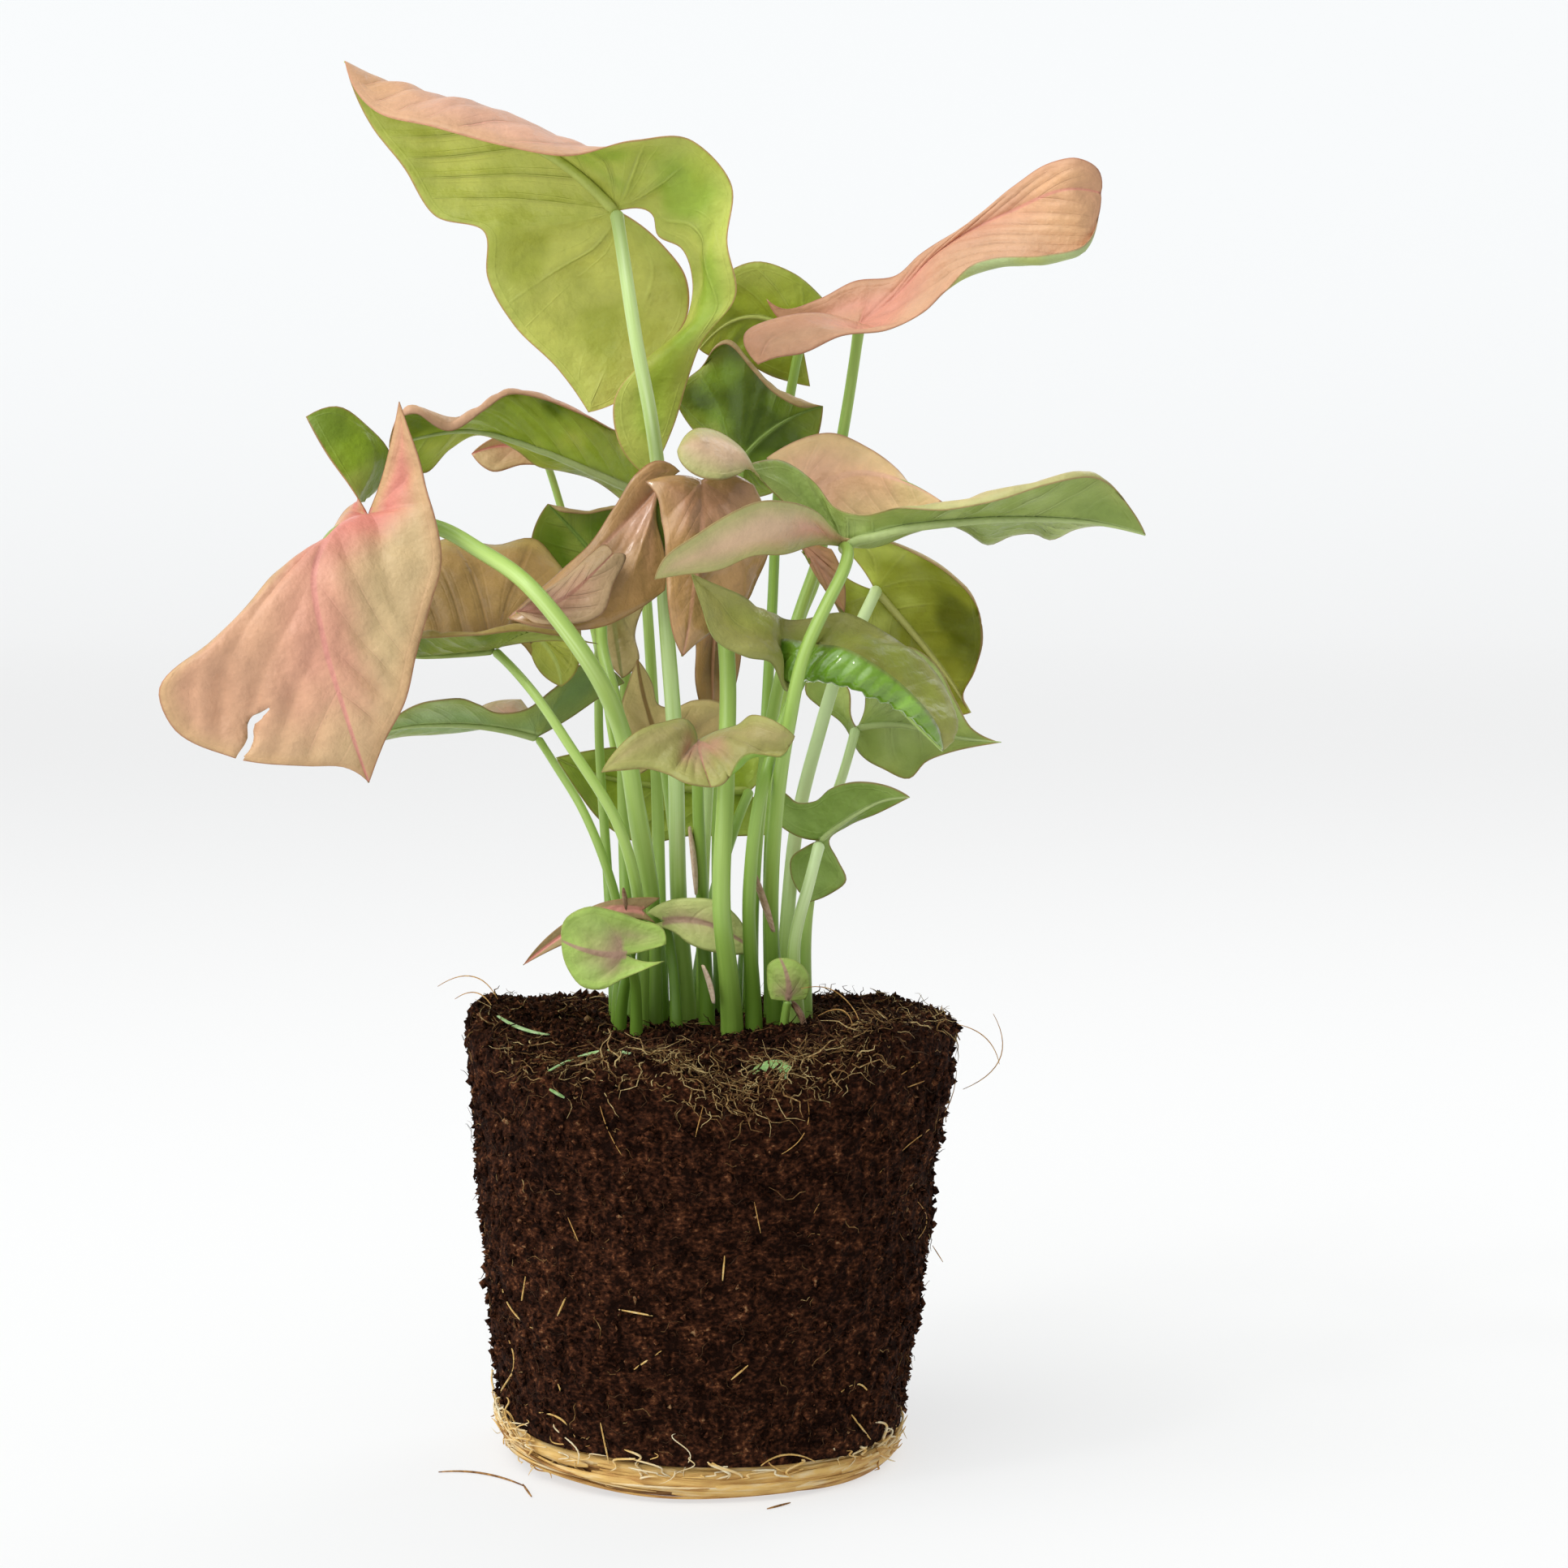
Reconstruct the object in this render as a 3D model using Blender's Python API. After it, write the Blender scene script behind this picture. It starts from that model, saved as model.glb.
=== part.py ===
"""Arrowhead plant lifted out of its pot: pink and green leaves on long stalks over a bare root ball."""
import bpy
import numpy as np

# Every size below is in millimetres, and MM turns it into metres when a mesh is made
MM = 0.001

# Root ball, moulded by a 12 cm nursery pot, and the mat of coiled roots under it
BALL_HEIGHT = 103.0
BALL_TOP_RADIUS = 56.3
BALL_FOOT_RADIUS = 46.5
BALL_LEAN = 2.7
MAT_HEIGHT = 7.2
MAT_SLOPE = -0.045
REST_RADIUS = 36.0
SEAT_GAP = 0.3

# Leaves and stalks
LEAF_THICKNESS = 0.7
LEAF_TO_STALK = 0.65
STALK_SIDES = 6
STALK_DEPTH = 12.0
STALK_STAND = 1.5
HOLE_GAP = 0.35
HOLE_SIDES = 8
SMALL_LEAF = 25.0

# A leaf's points are (across, depth, up): across and up are read on the upright plane through the
# middle of the root ball, as seen from EYE, and depth then moves the point along that line of sight
EYE = np.array([20.0, -1050.0, 300.0])

# The crown is bushier than the tuft of feet: between two heights, depths come to grow this many
# times, and far ones no further than the reach
BUSH_GROWTH = 2.4
BUSH_REACH = 95.0
BUSH_LOW = 106.0
BUSH_FULL = 175.0

# Mounds and dips of the soil's top: place across, place in depth, height, spread
SOIL_MOUNDS = (
    (-48, 2, 4.5, 11),
    (44, -28, 5.5, 14),
    (-9, -53, 2.5, 9),
    (8, -54, -6.5, 9),
    (-36, -41, -3.5, 11),
    (0, 52, -5.0, 26),
)

# Colour, roughness of each finish
FINISHES = {
    "leaf_pink": ((0.66, 0.29, 0.20), 0.42),
    "leaf_blush": ((0.42, 0.36, 0.14), 0.42),
    "leaf_green": ((0.17, 0.30, 0.06), 0.38),
    "stalk_green": ((0.32, 0.52, 0.14), 0.40),
    "peat": ((0.035, 0.015, 0.008), 0.95),
    "roots": ((0.50, 0.28, 0.09), 0.75),
}

LEAVES = {}


def half(edge, inner=(), bulge=(0.0,), ripple=None, lip=None, share=None):
    """One half of a leaf, as seen from its upper side with the tip up.

    edge runs along the outer margin from the back lobe's end towards the tip, and inner along the
    lobe's inner margin from its end to the stalk. bulge lifts the middle towards the upper side, as
    shares of the half's width. ripple is the height, number and start of the margin's waves. lip is a
    rolled margin's width, angle, start and end. share is where the stalk's level falls on the margin.
    """
    return dict(edge=list(edge), inner=list(inner), bulge=bulge, ripple=ripple, lip=lip, share=share)


def leaf(name, tone, rib, right, left, foot, stalk, thick):
    """Enter a leaf: its midrib from stalk to tip, its halves, and its stalk from the leaf down."""
    LEAVES[name] = dict(tone=tone, rib=rib, right=right, left=left, foot=foot, stalk=stalk, thick=thick)


leaf("top", "green",
     rib=[(-18, 5, 291), (-31, 6, 303), (-50, 8, 311), (-66, 8, 317.5), (-80, 5, 325)],
     right=half([(-25, 8, 245), (-32, 8, 255), (-42, 8, 265), (-48, 8, 276), (-48.5, 7, 286),
                 (-60, 9, 290), (-67, 9, 301), (-74, 9, 310), (-78, 7, 318)],
                inner=[(-19, 8, 247), (-8, 8, 258), (-2, 8, 268), (-2.5, 7, 276), (-7.5, 6, 283),
                       (-13, 5.5, 288)],
                bulge=(0.08,)),
     left=half([(-11, 5, 230), (-5, 4, 243), (-2, 4, 253), (1, 3, 261), (9, 2, 272), (7, 2, 284),
                (8, 3, 297), (-1, 3, 307), (-14, -1, 307), (-31, -7, 303.5), (-45, -7, 306),
                (-60, -5, 310), (-73, -1, 313.5)],
               inner=[(-18, 3, 238), (-19, 2.5, 248), (-12, 3.5, 257), (-3, 4.5, 265), (-1, 5, 275),
                      (-3.5, 5, 282.5), (-9, 5, 285.5), (-10, 5, 290)], bulge=(0.05, 0.05, 0.05, 0.3, 0.3)),
     foot=(-3, 1), stalk=[(-17, 1, 282), (-14, -2, 262), (-10.5, -1.5, 243), (-9, 0.5, 232),
                          (-7.5, -4, 200), (-5.5, -6, 172), (-4.5, -3, 130)], thick=(1.5, 2.1))

leaf("upper_right", "pink",
     rib=[(37, 18, 265), (45, 19, 271), (55, 18, 281.5), (72, 15, 291), (86, 12, 296), (92.5, 13, 295)],
     right=half([(14, 9, 256), (18, 9, 257.5), (24, 9, 258.5), (33, 10, 262.5), (44, 11, 264),
                 (52, 11, 268), (58, 12, 273.5), (68, 11, 277.5), (80, 11, 279.5), (89, 12, 284)],
                inner=[(11, 12, 263), (20, 14, 267), (30, 16, 267.5)],
                bulge=(0.05,), lip=(6.5, 160, 0.5, 0.95)),
     left=half([(16, 20, 271), (19, 20, 269), (28, 21, 271), (36, 21, 275), (46, 20, 276.5),
                (51, 19, 281), (62, 17, 288), (73, 15, 297), (81, 13, 302), (87, 12, 303), (92, 13, 300)],
               inner=[(20, 20, 265.5), (28, 20, 264)], bulge=(0.05,)),
     foot=(12, 13), stalk=[(33.5, 19, 240), (27.5, 18, 210), (24, 17, 200), (19.5, 14, 185),
                           (14, 13, 150)], thick=(1.3, 1.8))

leaf("behind_right", "green",
     rib=[(10, 36, 234), (17, 34, 241), (29, 30, 246.5)],
     right=half([(-6, 40, 250), (0, 38, 254.5), (8, 35, 260), (14, 33, 254), (19, 31, 249.5)],
                inner=[(0, 40, 240)], bulge=(0.05,), lip=(4, -140, 0.2, 1)),
     left=half([(5, 40, 226), (16, 39, 226), (25, 35, 233), (28, 31, 240)], bulge=(0.05,)),
     foot=(5, 14), stalk=[(8, 33, 215), (6, 23, 190), (5, 16, 168), (4.5, 15, 140)], thick=(1.2, 1.6))

leaf("behind_top", "green",
     rib=[(24, 45, 262), (12, 45, 267), (0.5, 42, 259.5)],
     right=half([(26, 47, 251), (18, 46, 253), (9, 44, 257), (4, 43, 257.5)], bulge=(0.05,)),
     left=half([(33, 46, 266), (29, 46, 271), (22, 44, 277), (13, 43, 279.5), (7, 42, 277), (2, 42, 268)],
               bulge=(-0.1,)),
     foot=(10, 20), stalk=[(20, 44, 240), (17, 41, 195), (15, 33, 160), (13, 26, 138)], thick=(1.2, 1.6))

leaf("far_left", "pink",
     rib=[(-76, -8, 221.5), (-84, -13, 218), (-88.5, -17, 209), (-86.5, -20, 192), (-82, -20, 176),
          (-76.5, -17, 159)],
     right=half([(-90, -6, 244), (-83, -6, 246.5), (-76, -4, 242), (-71, -2, 234), (-74, -2, 227),
                 (-80, -5, 222.5), (-89, -12, 213.5), (-100, -18, 204.5), (-113, -21, 192),
                 (-125, -22, 180), (-122, -22, 172), (-108, -22, 165), (-91, -21, 163),
                 (-81.5, -19, 162.5)],
                inner=[(-85, -8, 235), (-80, -9, 228)],
                bulge=(0, 0, 0.06, 0.08, 0.05), ripple=(1.2, 5, 0), share=0.27),
     left=half([(-68.5, -10, 247.5), (-66, -11, 240), (-63, -11, 230), (-60.5, -12, 221), (-59, -13, 211),
                (-62, -15, 200), (-65, -17, 189), (-68, -18, 178), (-73, -18, 168)],
               inner=[(-70.5, -9, 238), (-73, -8, 229)], bulge=(0.05, 0.08, 0.08), ripple=(0.8, 4, 0.2)),
     foot=(-11, -4), stalk=[(-60, -7, 218.5), (-50, -10, 213), (-38, -17, 204), (-27, -18, 190),
                            (-18, -11.5, 172), (-14, -8, 150), (-11, -5, 128)], thick=(1.7, 2.4))

leaf("upper_left", "green",
     rib=[(-14, 18, 227), (-24, 14, 231.5), (-36, 11, 236.5), (-50, 8, 241), (-61, 5, 240),
          (-71, 4, 237)],
     right=half([(-12, 24, 219), (-18, 20, 225.3), (-24, 17, 229.5), (-31, 14, 231.5), (-37, 12, 232.7),
                 (-42, 11, 236.5), (-51, 9, 239.8), (-57, 7, 236.5), (-63, 5, 231)], bulge=(0.1,)),
     left=half([(-8, 19, 236), (-14, 17, 240), (-20, 14, 241), (-28, 11, 245), (-36, 9, 248.3),
                (-44, 7, 249.5), (-50, 5, 246.5), (-57, 3, 243), (-65, 1, 246.5)],
               bulge=(0.05,), ripple=(1, 3, 0.1), lip=(3.5, -150, 0.15, 0.97)),
     foot=(-9, 10), stalk=[(-12, 18, 205), (-10, 16, 170), (-9, 12, 130)], thick=(1.2, 1.7))

leaf("left_sprig", "pink",
     rib=[(-36, 17, 236), (-44, 16, 237.5), (-52, 15, 235.5)],
     right=half([(-32, 17, 239), (-39, 16.5, 240), (-46, 15, 239.5)], bulge=(0.05,)),
     left=half([(-32, 16.5, 232), (-40, 15.5, 233), (-47.5, 14.5, 231.5)], bulge=(0.05,)),
     foot=(-9, 19), stalk=[(-34.5, 22, 233), (-30, 24, 218), (-24, 27, 195), (-18, 27, 160),
                           (-12, 24, 138)], thick=(0.9, 1.2))

leaf("behind_left", "green",
     rib=[(-20, 13, 207), (-28, 12, 217), (-34.5, 11, 224)],
     right=half([(-24, 12, 198), (-34, 12, 205), (-38.5, 11.5, 214), (-37, 11, 220)], bulge=(0.05,)),
     left=half([(-12, 14, 212), (-18, 13, 222), (-27, 12, 221.3), (-31, 11, 222.6)],
               bulge=(0.05,), lip=(3, -140, 0.3, 1)),
     foot=(-16, 6), stalk=[(-17, 13.5, 195), (-17.5, 13, 170), (-17, 9, 135)], thick=(1.2, 1.6))

leaf("centre_left", "pink",
     rib=[(-9, -5, 228), (-18, -7, 218), (-30, -10, 207), (-44, -12, 197.5)],
     right=half([(-4, -4, 231.5), (-9, -5, 234), (-14, -6, 231), (-19, -6.5, 223.5), (-26, -8, 213.5),
                 (-32, -9, 208), (-38, -10.5, 203)], bulge=(0.1,), ripple=(0.6, 3, 0.3)),
     left=half([(-7.5, -8, 204), (-14, -9.5, 199.3), (-20, -12, 196.3), (-27, -13.5, 194.5),
                (-36, -13.5, 195.3)],
               inner=[(-7.5, -7, 212), (-9.5, -6, 221)], bulge=(0.1,), ripple=(0.6, 2, 0)),
     foot=(-9, 4), stalk=[(-15, -2, 220), (-21, 0.5, 206), (-22.3, 1, 193), (-19.5, -2, 180),
                          (-15, -2.5, 160), (-10.5, 1, 132)], thick=(1.3, 1.7))

leaf("centre_hanging", "pink",
     rib=[(1, -7, 229.5), (1, -10, 219), (-1, -12, 203), (-3.5, -12, 188.5)],
     right=half([(-12, -9, 229), (-9.5, -10, 226), (-8, -11, 219), (-7.3, -12, 209), (-6.7, -12.5, 199),
                 (-5.5, -12.5, 193)],
                inner=[(-6, -8.5, 230.5)], bulge=(0.12,), ripple=(0.5, 3, 0.1)),
     left=half([(13, -6, 228), (16.5, -8, 214), (14, -8, 206), (9, -9.5, 199), (3, -11, 194),
                (-0.5, -11.5, 191.5)],
               inner=[(7, -6.5, 231)], bulge=(0.12,), ripple=(1, 3, 0.4)),
     foot=(8, -15), stalk=[(3, -2, 214), (6.5, -3, 192), (6.5, -9, 160), (5.5, -18, 128), (7, -18, 114)],
     thick=(1.8, 2.3))

leaf("striped", "pink",
     rib=[(-47, -4, 190.5), (-56, -4, 189.5), (-66, -2, 189), (-78, 2, 192)],
     right=half([(-32, 3, 183.5), (-28, 4, 188), (-27, 5, 197), (-31, 7, 209), (-37, 8, 215.5),
                 (-45, 8, 214.5), (-54, 8, 216), (-66, 7, 212)],
                inner=[(-37, 1, 187), (-42, -2, 192)], bulge=(0.05,), ripple=(0.8, 5, 0)),
     left=half([(-23, -6, 191.5), (-30, -6.5, 193.2), (-40, -8, 195.5), (-50, -10, 195), (-60, -9, 194.3),
                (-70, -4, 193.5)],
               inner=[(-35, -6, 192.2)], bulge=(-0.1,), lip=(3, -120, 0.05, 0.98)),
     foot=(-13, -10), stalk=[(-38, -8, 180), (-29, -10, 166.5), (-19, -11, 150), (-13.5, -11, 128)],
     thick=(1, 1.6))

leaf("right_long", "green",
     rib=[(34, -3, 214), (44, -5, 218.3), (60, -7, 220.6), (80, -8, 221), (95, -7, 219.3),
          (103.5, -7, 217)],
     right=half([(-4.5, -9, 236), (0, -10, 232), (4, -9, 231), (8, -7, 232.8), (12, -5, 234.3),
                 (20, -3, 233.8), (27, -3, 229), (32, -4, 223), (37, -5, 221.5), (46, -8, 223),
                 (57, -10, 224.2), (70, -12, 226.7), (80, -12, 229.5), (89.5, -11, 230.6),
                 (96, -9, 227.5), (100.3, -8, 222.5)],
                inner=[(-1, -8, 241), (5, -6, 240.5), (10, -6, 237), (14.5, -6, 230), (21, -5, 223.5),
                       (28, -4, 218.5)], bulge=(0.1, 0, 0, 0, 0, 0), lip=(4, -120, 0.5, 0.93), share=0.36),
     left=half([(-10, -19, 206.5), (-8, -20, 211), (0, -20, 217), (8, -19, 222), (14, -17, 224.5),
                (21, -14, 224.5), (27, -10, 222.5), (31, -6, 218.5), (36, 0, 214), (42, 3, 214.2),
                (50, 5, 217.3), (58, 5, 219), (62, 6, 217.5), (67, 7, 214.5), (73, 6, 216.7),
                (78, 6, 217), (81, 5, 215.7), (87, 3, 218), (95, -2, 218.8)],
               inner=[(-4, -18, 207.5), (5, -17, 208.7), (12, -15, 211.7), (20, -11, 212.3),
                      (28, -6, 214.5)], bulge=(0.1, 0.1, 0, 0), share=0.38),
     foot=(18, -6), stalk=[(33.5, -10.5, 208), (29.5, -12.5, 200), (25, -14, 190), (21, -14, 172),
                           (18, -11, 150), (17, -8, 128)], thick=(1.4, 1.9))

leaf("right_blush", "pink",
     rib=[(24, 14, 226), (36, 12, 231), (48, 9, 229), (56.5, 7, 224.5)],
     right=half([(18, 17, 217), (30, 14, 216), (42, 11, 219), (50, 8, 221.5)], bulge=(0.05,)),
     left=half([(16, 18, 234.5), (22, 17, 238), (31, 15, 240.4), (40, 13, 236.5), (46, 11, 232),
                (51, 9, 226.5)], bulge=(0.1,), ripple=(0.5, 2, 0)),
     foot=(17, 10), stalk=[(24.5, 24, 219), (27.5, 25.5, 208), (24, 24, 198), (20, 21, 180),
                           (17, 17, 150), (16.5, 13, 130)], thick=(1.2, 1.6))

leaf("right_round", "green",
     rib=[(41, 15, 204), (50, 16, 194), (58, 16, 184), (63.5, 15, 175.5)],
     right=half([(34, 15, 213.5), (42, 14, 215), (50, 13, 212.3), (58, 13, 207.5), (65, 13, 199),
                 (66, 13, 192.5), (64, 14, 185), (61.5, 15, 178)],
                inner=[(38, 15, 209)], bulge=(0.1,), ripple=(0.5, 4, 0), lip=(3, -120, 0, 0.6)),
     left=half([(24, 9, 213), (28, 10, 207.5), (32, 11, 200.5), (36, 13, 193), (42, 15, 187),
                (50, 16, 180), (57, 16, 175)],
               inner=[(30, 11, 210), (36, 13, 206)], bulge=(0.1,)),
     foot=(20, 3), stalk=[(38.5, 8, 198), (32.5, 5, 185), (28, 4.5, 170), (23.5, 4, 152), (21, 3.5, 130)],
     thick=(1.4, 1.9))

leaf("curled", "green",
     rib=[(24, -6, 184.5), (29, -9, 184.8), (38, -11, 182.5), (46, -11, 178), (52, -10, 172),
          (57, -8, 166.5)],
     right=half([(15, -6, 192), (20, -8, 192.7), (27, -11, 191.5), (34, -13, 190.6), (40, -14, 187.5),
                 (46, -14, 183.3), (52, -13, 177.5), (56, -10, 171.5)],
                inner=[(20, -6.5, 188)], bulge=(-0.9,)),
     left=half([(-1.5, -16, 208), (5, -15, 205), (11, -12.5, 202.5), (16, -6, 198.5), (24, 0, 197.7),
                (33, 1, 198.2), (40, 0, 196), (46, -1, 193.3), (52, -2, 188), (57, -3, 181),
                (60, -5, 174)],
               inner=[(1, -17, 200), (4, -17, 192.5), (11, -16, 188.5), (17, -13, 187),
                      (20.5, -11, 180.5), (23, -8.5, 183)], bulge=(0.1,), ripple=(1, 4, 0)),
     foot=(13, -13), stalk=[(20, -8.5, 174), (14.3, -14, 155), (12, -15.5, 135)], thick=(1.3, 1.8))

leaf("lower_right", "green",
     rib=[(37, 5, 172), (47, 4, 172.5), (58, 2, 170), (70.5, 0, 168.5)],
     right=half([(41, 8, 188), (48, 7, 191), (55, 5, 187), (60, 3, 178), (64, 1, 171.5)],
                inner=[(39, 7, 181), (38.5, 6, 175.5)], bulge=(0.1,)),
     left=half([(30, 11, 186), (25.5, 11, 184), (25, 11, 180), (28, 10.5, 177), (33, 9.5, 173.5),
                (38, 7, 165.5), (43, 4, 162.3), (49, 3, 160), (53, 2, 164), (58, 1.5, 166),
                (64, 0.5, 167.5)],
               inner=[(35, 10, 181), (35.5, 8, 175)], bulge=(0.08,)),
     foot=(25, -2), stalk=[(34, 3.5, 162), (29, 4, 147), (25.5, 1.5, 128)], thick=(1.1, 1.5))

leaf("centre_low", "blush",
     rib=[(0, -13, 169), (1, -18, 164), (3, -22, 158)],
     right=half([(-22.5, -18, 161.5), (-17, -19, 162), (-12, -19.5, 162.3), (-7, -20.5, 161),
                 (-3, -22, 159)],
                inner=[(-20, -18, 165.5), (-15, -17.5, 170.5), (-8, -15, 173.3), (-2, -13, 173.5)],
                bulge=(0.2,)),
     left=half([(22.5, -20, 170), (21, -20, 167.5), (16, -20, 166.5), (12, -20, 165), (8, -21, 161.5),
                (6, -22, 158.8)],
               inner=[(18, -20, 173.5), (13, -18, 175), (9, -15, 172.5), (4, -13, 171)],
               bulge=(0.2,), lip=(4, 130, 0.1, 0.8)),
     foot=(2, -4), stalk=[(0, -9, 155), (1, -5.5, 130)], thick=(1.3, 1.7))

leaf("upright", "blush",
     rib=[(-8, 2, 166), (-12, 2, 177), (-14, 2, 188)],
     right=half([(8, 4, 170), (5, 3, 178), (-1, 3, 178.4), (-6, 3, 176.5), (-9.3, 3, 177.5),
                 (-10.5, 3, 182)],
                inner=[(0, 4, 167)], bulge=(0.05,)),
     left=half([(-17, 1, 160), (-18, 1, 168), (-18.3, 1, 175), (-16.3, 2, 182)],
               inner=[(-12, 2, 162)], bulge=(0.05,)),
     foot=(-4, 9), stalk=[(-6, 4, 150), (-4, 7, 130)], thick=(1.2, 1.6))

leaf("brown_strip", "pink",
     rib=[(5, 9, 202), (3.5, 8, 190), (4, 6, 171)],
     right=half([(-2, 8, 200), (-0.5, 7, 192), (-0.5, 6, 182), (1, 6, 176)], bulge=(0.1,)),
     left=half([(10, 8, 198), (10, 8, 188), (7.5, 7, 178)], bulge=(0.1,)),
     foot=(1, 7), stalk=[(5, 12, 190), (2.5, 11.5, 160), (1, 8.5, 130)], thick=(1.2, 1.6))

leaf("dark_flap", "green",
     rib=[(-20, 8, 202), (-19, 7, 194), (-17.5, 5, 183.5)],
     right=half([(-26, 8, 203), (-23, 7, 196), (-21, 6, 188)], bulge=(0.05,)),
     left=half([(-12, 9, 201), (-14.5, 8, 194), (-13.8, 6, 187)], bulge=(0.05,)),
     foot=(-20, 11), stalk=[(-22.5, 12, 194), (-23, 14, 175), (-21, 13, 135)], thick=(1, 1.3))

leaf("low_left", "green",
     rib=[(-37, 3, 170), (-45, 2, 172), (-58, 0, 173), (-72, -2, 171.5), (-80, -3, 168)],
     right=half([(-41, 12, 178.5), (-50, 11, 177), (-53, 8, 172.5), (-58, 6, 170.8), (-68, 3, 170),
                 (-76, -1, 168.5)],
                inner=[(-38, 8, 174)], bulge=(0.05,)),
     left=half([(-17, 8, 182.5), (-21, 6, 186), (-27, 4, 187), (-33, 3, 181), (-40, 1, 176.5),
                (-47, 0, 175.5), (-51, -2, 177), (-55, -3, 179), (-62, -4, 178.3), (-70, -4, 174.5)],
               inner=[(-22, 8, 179.5), (-30, 6, 174)], bulge=(0.05,), ripple=(0.6, 4, 0)),
     foot=(-19, -2), stalk=[(-33, 0, 163), (-27, -3, 153), (-22, -4, 141), (-18.5, -3, 128)],
     thick=(0.9, 1.3))

leaf("behind_stems", "green",
     rib=[(12, 24, 157), (-8, 23, 158), (-24, 20, 161), (-33, 17, 165)],
     right=half([(19, 25, 147), (8, 25, 146.5), (-2, 24, 146.5), (-14, 22, 145), (-22, 20, 149.5),
                 (-28, 18, 157)], bulge=(0.05,)),
     left=half([(20, 25, 165), (12, 24, 167), (0, 23, 170), (-15, 21, 168), (-26, 18, 166.5)],
               bulge=(0.05,)),
     foot=(-1, 18), stalk=[(8, 19.5, 147), (3, 18.5, 130)], thick=(1.2, 1.6))

leaf("right_low", "green",
     rib=[(28.5, -3, 145.5), (36, -5, 151.5), (43, -6, 155), (49.3, -7, 155.7)],
     right=half([(18, -1, 158), (20.5, -1, 156.5), (23, -2, 154.5), (27, -3, 154.7), (31, -5, 157.8),
                 (38, -7, 159.3), (45, -7, 158)],
                inner=[(18.3, -1, 150), (22, -2, 147)], bulge=(0.05,)),
     left=half([(26, 0, 131), (31, -1, 133), (34.5, -2, 136), (32.5, -2, 141), (30.5, -2, 145.5),
                (35, -3, 149), (42, -5, 152)],
               inner=[(22, 0, 136), (21.5, 0, 141), (25, -1.5, 144)], bulge=(0.05,)),
     foot=(23, -9), stalk=[(26, -7, 136), (22.5, -9, 122)], thick=(1.3, 1.7))

leaf("low_round", "blush",
     rib=[(-17, -27, 118.5), (-24, -29, 119), (-32, -28, 122)],
     right=half([(-7.5, -25, 121), (-8.5, -24, 125), (-13, -24, 126.5), (-20, -25, 129),
                 (-26, -26, 129.8), (-31, -27, 127)],
                inner=[(-12, -26, 119.5)], bulge=(-0.1,)),
     left=half([(-8, -27, 117), (-13, -29, 114.8), (-18, -30, 112.6), (-23, -31, 110.2),
                (-27, -31, 110.8), (-30.5, -30, 115)],
               inner=[(-13, -27, 117)], bulge=(-0.1,)),
     foot=(-14, -18), stalk=[(-15, -21, 113)], thick=(1, 1.4))

leaf("low_dark", "green",
     rib=[(-13, -16, 129), (-22, -18, 129), (-32, -18, 123), (-41, -18, 116)],
     right=half([(-9, -15, 132), (-15, -16, 132), (-22, -17, 131), (-32, -18, 125.5)], bulge=(0.05,)),
     left=half([(-10, -16, 126), (-16, -18, 127), (-24, -20, 124), (-34, -19, 119.8)], bulge=(0.05,)),
     foot=(-18, -10), stalk=[(-15, -14, 122)], thick=(1, 1.4))

leaf("low_centre", "blush",
     rib=[(-8, -9, 126.5), (2, -10, 126), (8, -10, 123), (13, -9, 119.5)],
     right=half([(-11, -8, 125.5), (-6, -10, 124), (-2, -12, 121), (4, -12, 119), (9, -11, 118.5)],
                bulge=(0.1,)),
     left=half([(-12, -8, 128.5), (-8, -8, 131), (-2, -9, 132), (5, -10, 131), (8.5, -10, 128.3),
                (11.5, -9, 123.5)], bulge=(0.1,)),
     foot=(-5, -10), stalk=[(-6.5, -7.5, 120)], thick=(1, 1.4))

leaf("tiny", "blush",
     rib=[(21, -18, 107.5), (21, -19, 112), (19, -18, 117.8)],
     right=half([(25, -17, 108), (26, -17, 113), (23, -18, 117)], bulge=(0.05,)),
     left=half([(17, -18, 108), (16, -18, 113), (16.5, -18, 116.5)], bulge=(0.05,)),
     foot=(20, -17), stalk=[], thick=(0.8, 1))


def placed(points):
    """Turn (across, depth, up) points into places in space."""
    across, depth, up = np.asarray(points, float).reshape(-1, 3).T
    rise = np.clip((up - BUSH_LOW) / (BUSH_FULL - BUSH_LOW), 0, 1)
    grow = 1 + (BUSH_GROWTH - 1) * rise * rise * (3 - 2 * rise)
    depth = depth + BUSH_REACH * (np.tanh(grow * depth / BUSH_REACH) - np.tanh(depth / BUSH_REACH))
    near = (depth - EYE[1]) / -EYE[1]
    return np.stack([EYE[0] + (across - EYE[0]) * near, depth, EYE[2] + (up - EYE[2]) * near], 1)


def length(points):
    """Length of the line through the points."""
    return np.linalg.norm(np.diff(points, axis=0), axis=1).sum()


def unit(vectors):
    """The vectors scaled to length 1."""
    return vectors / np.maximum(np.linalg.norm(vectors, axis=-1, keepdims=True), 1e-9)


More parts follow.
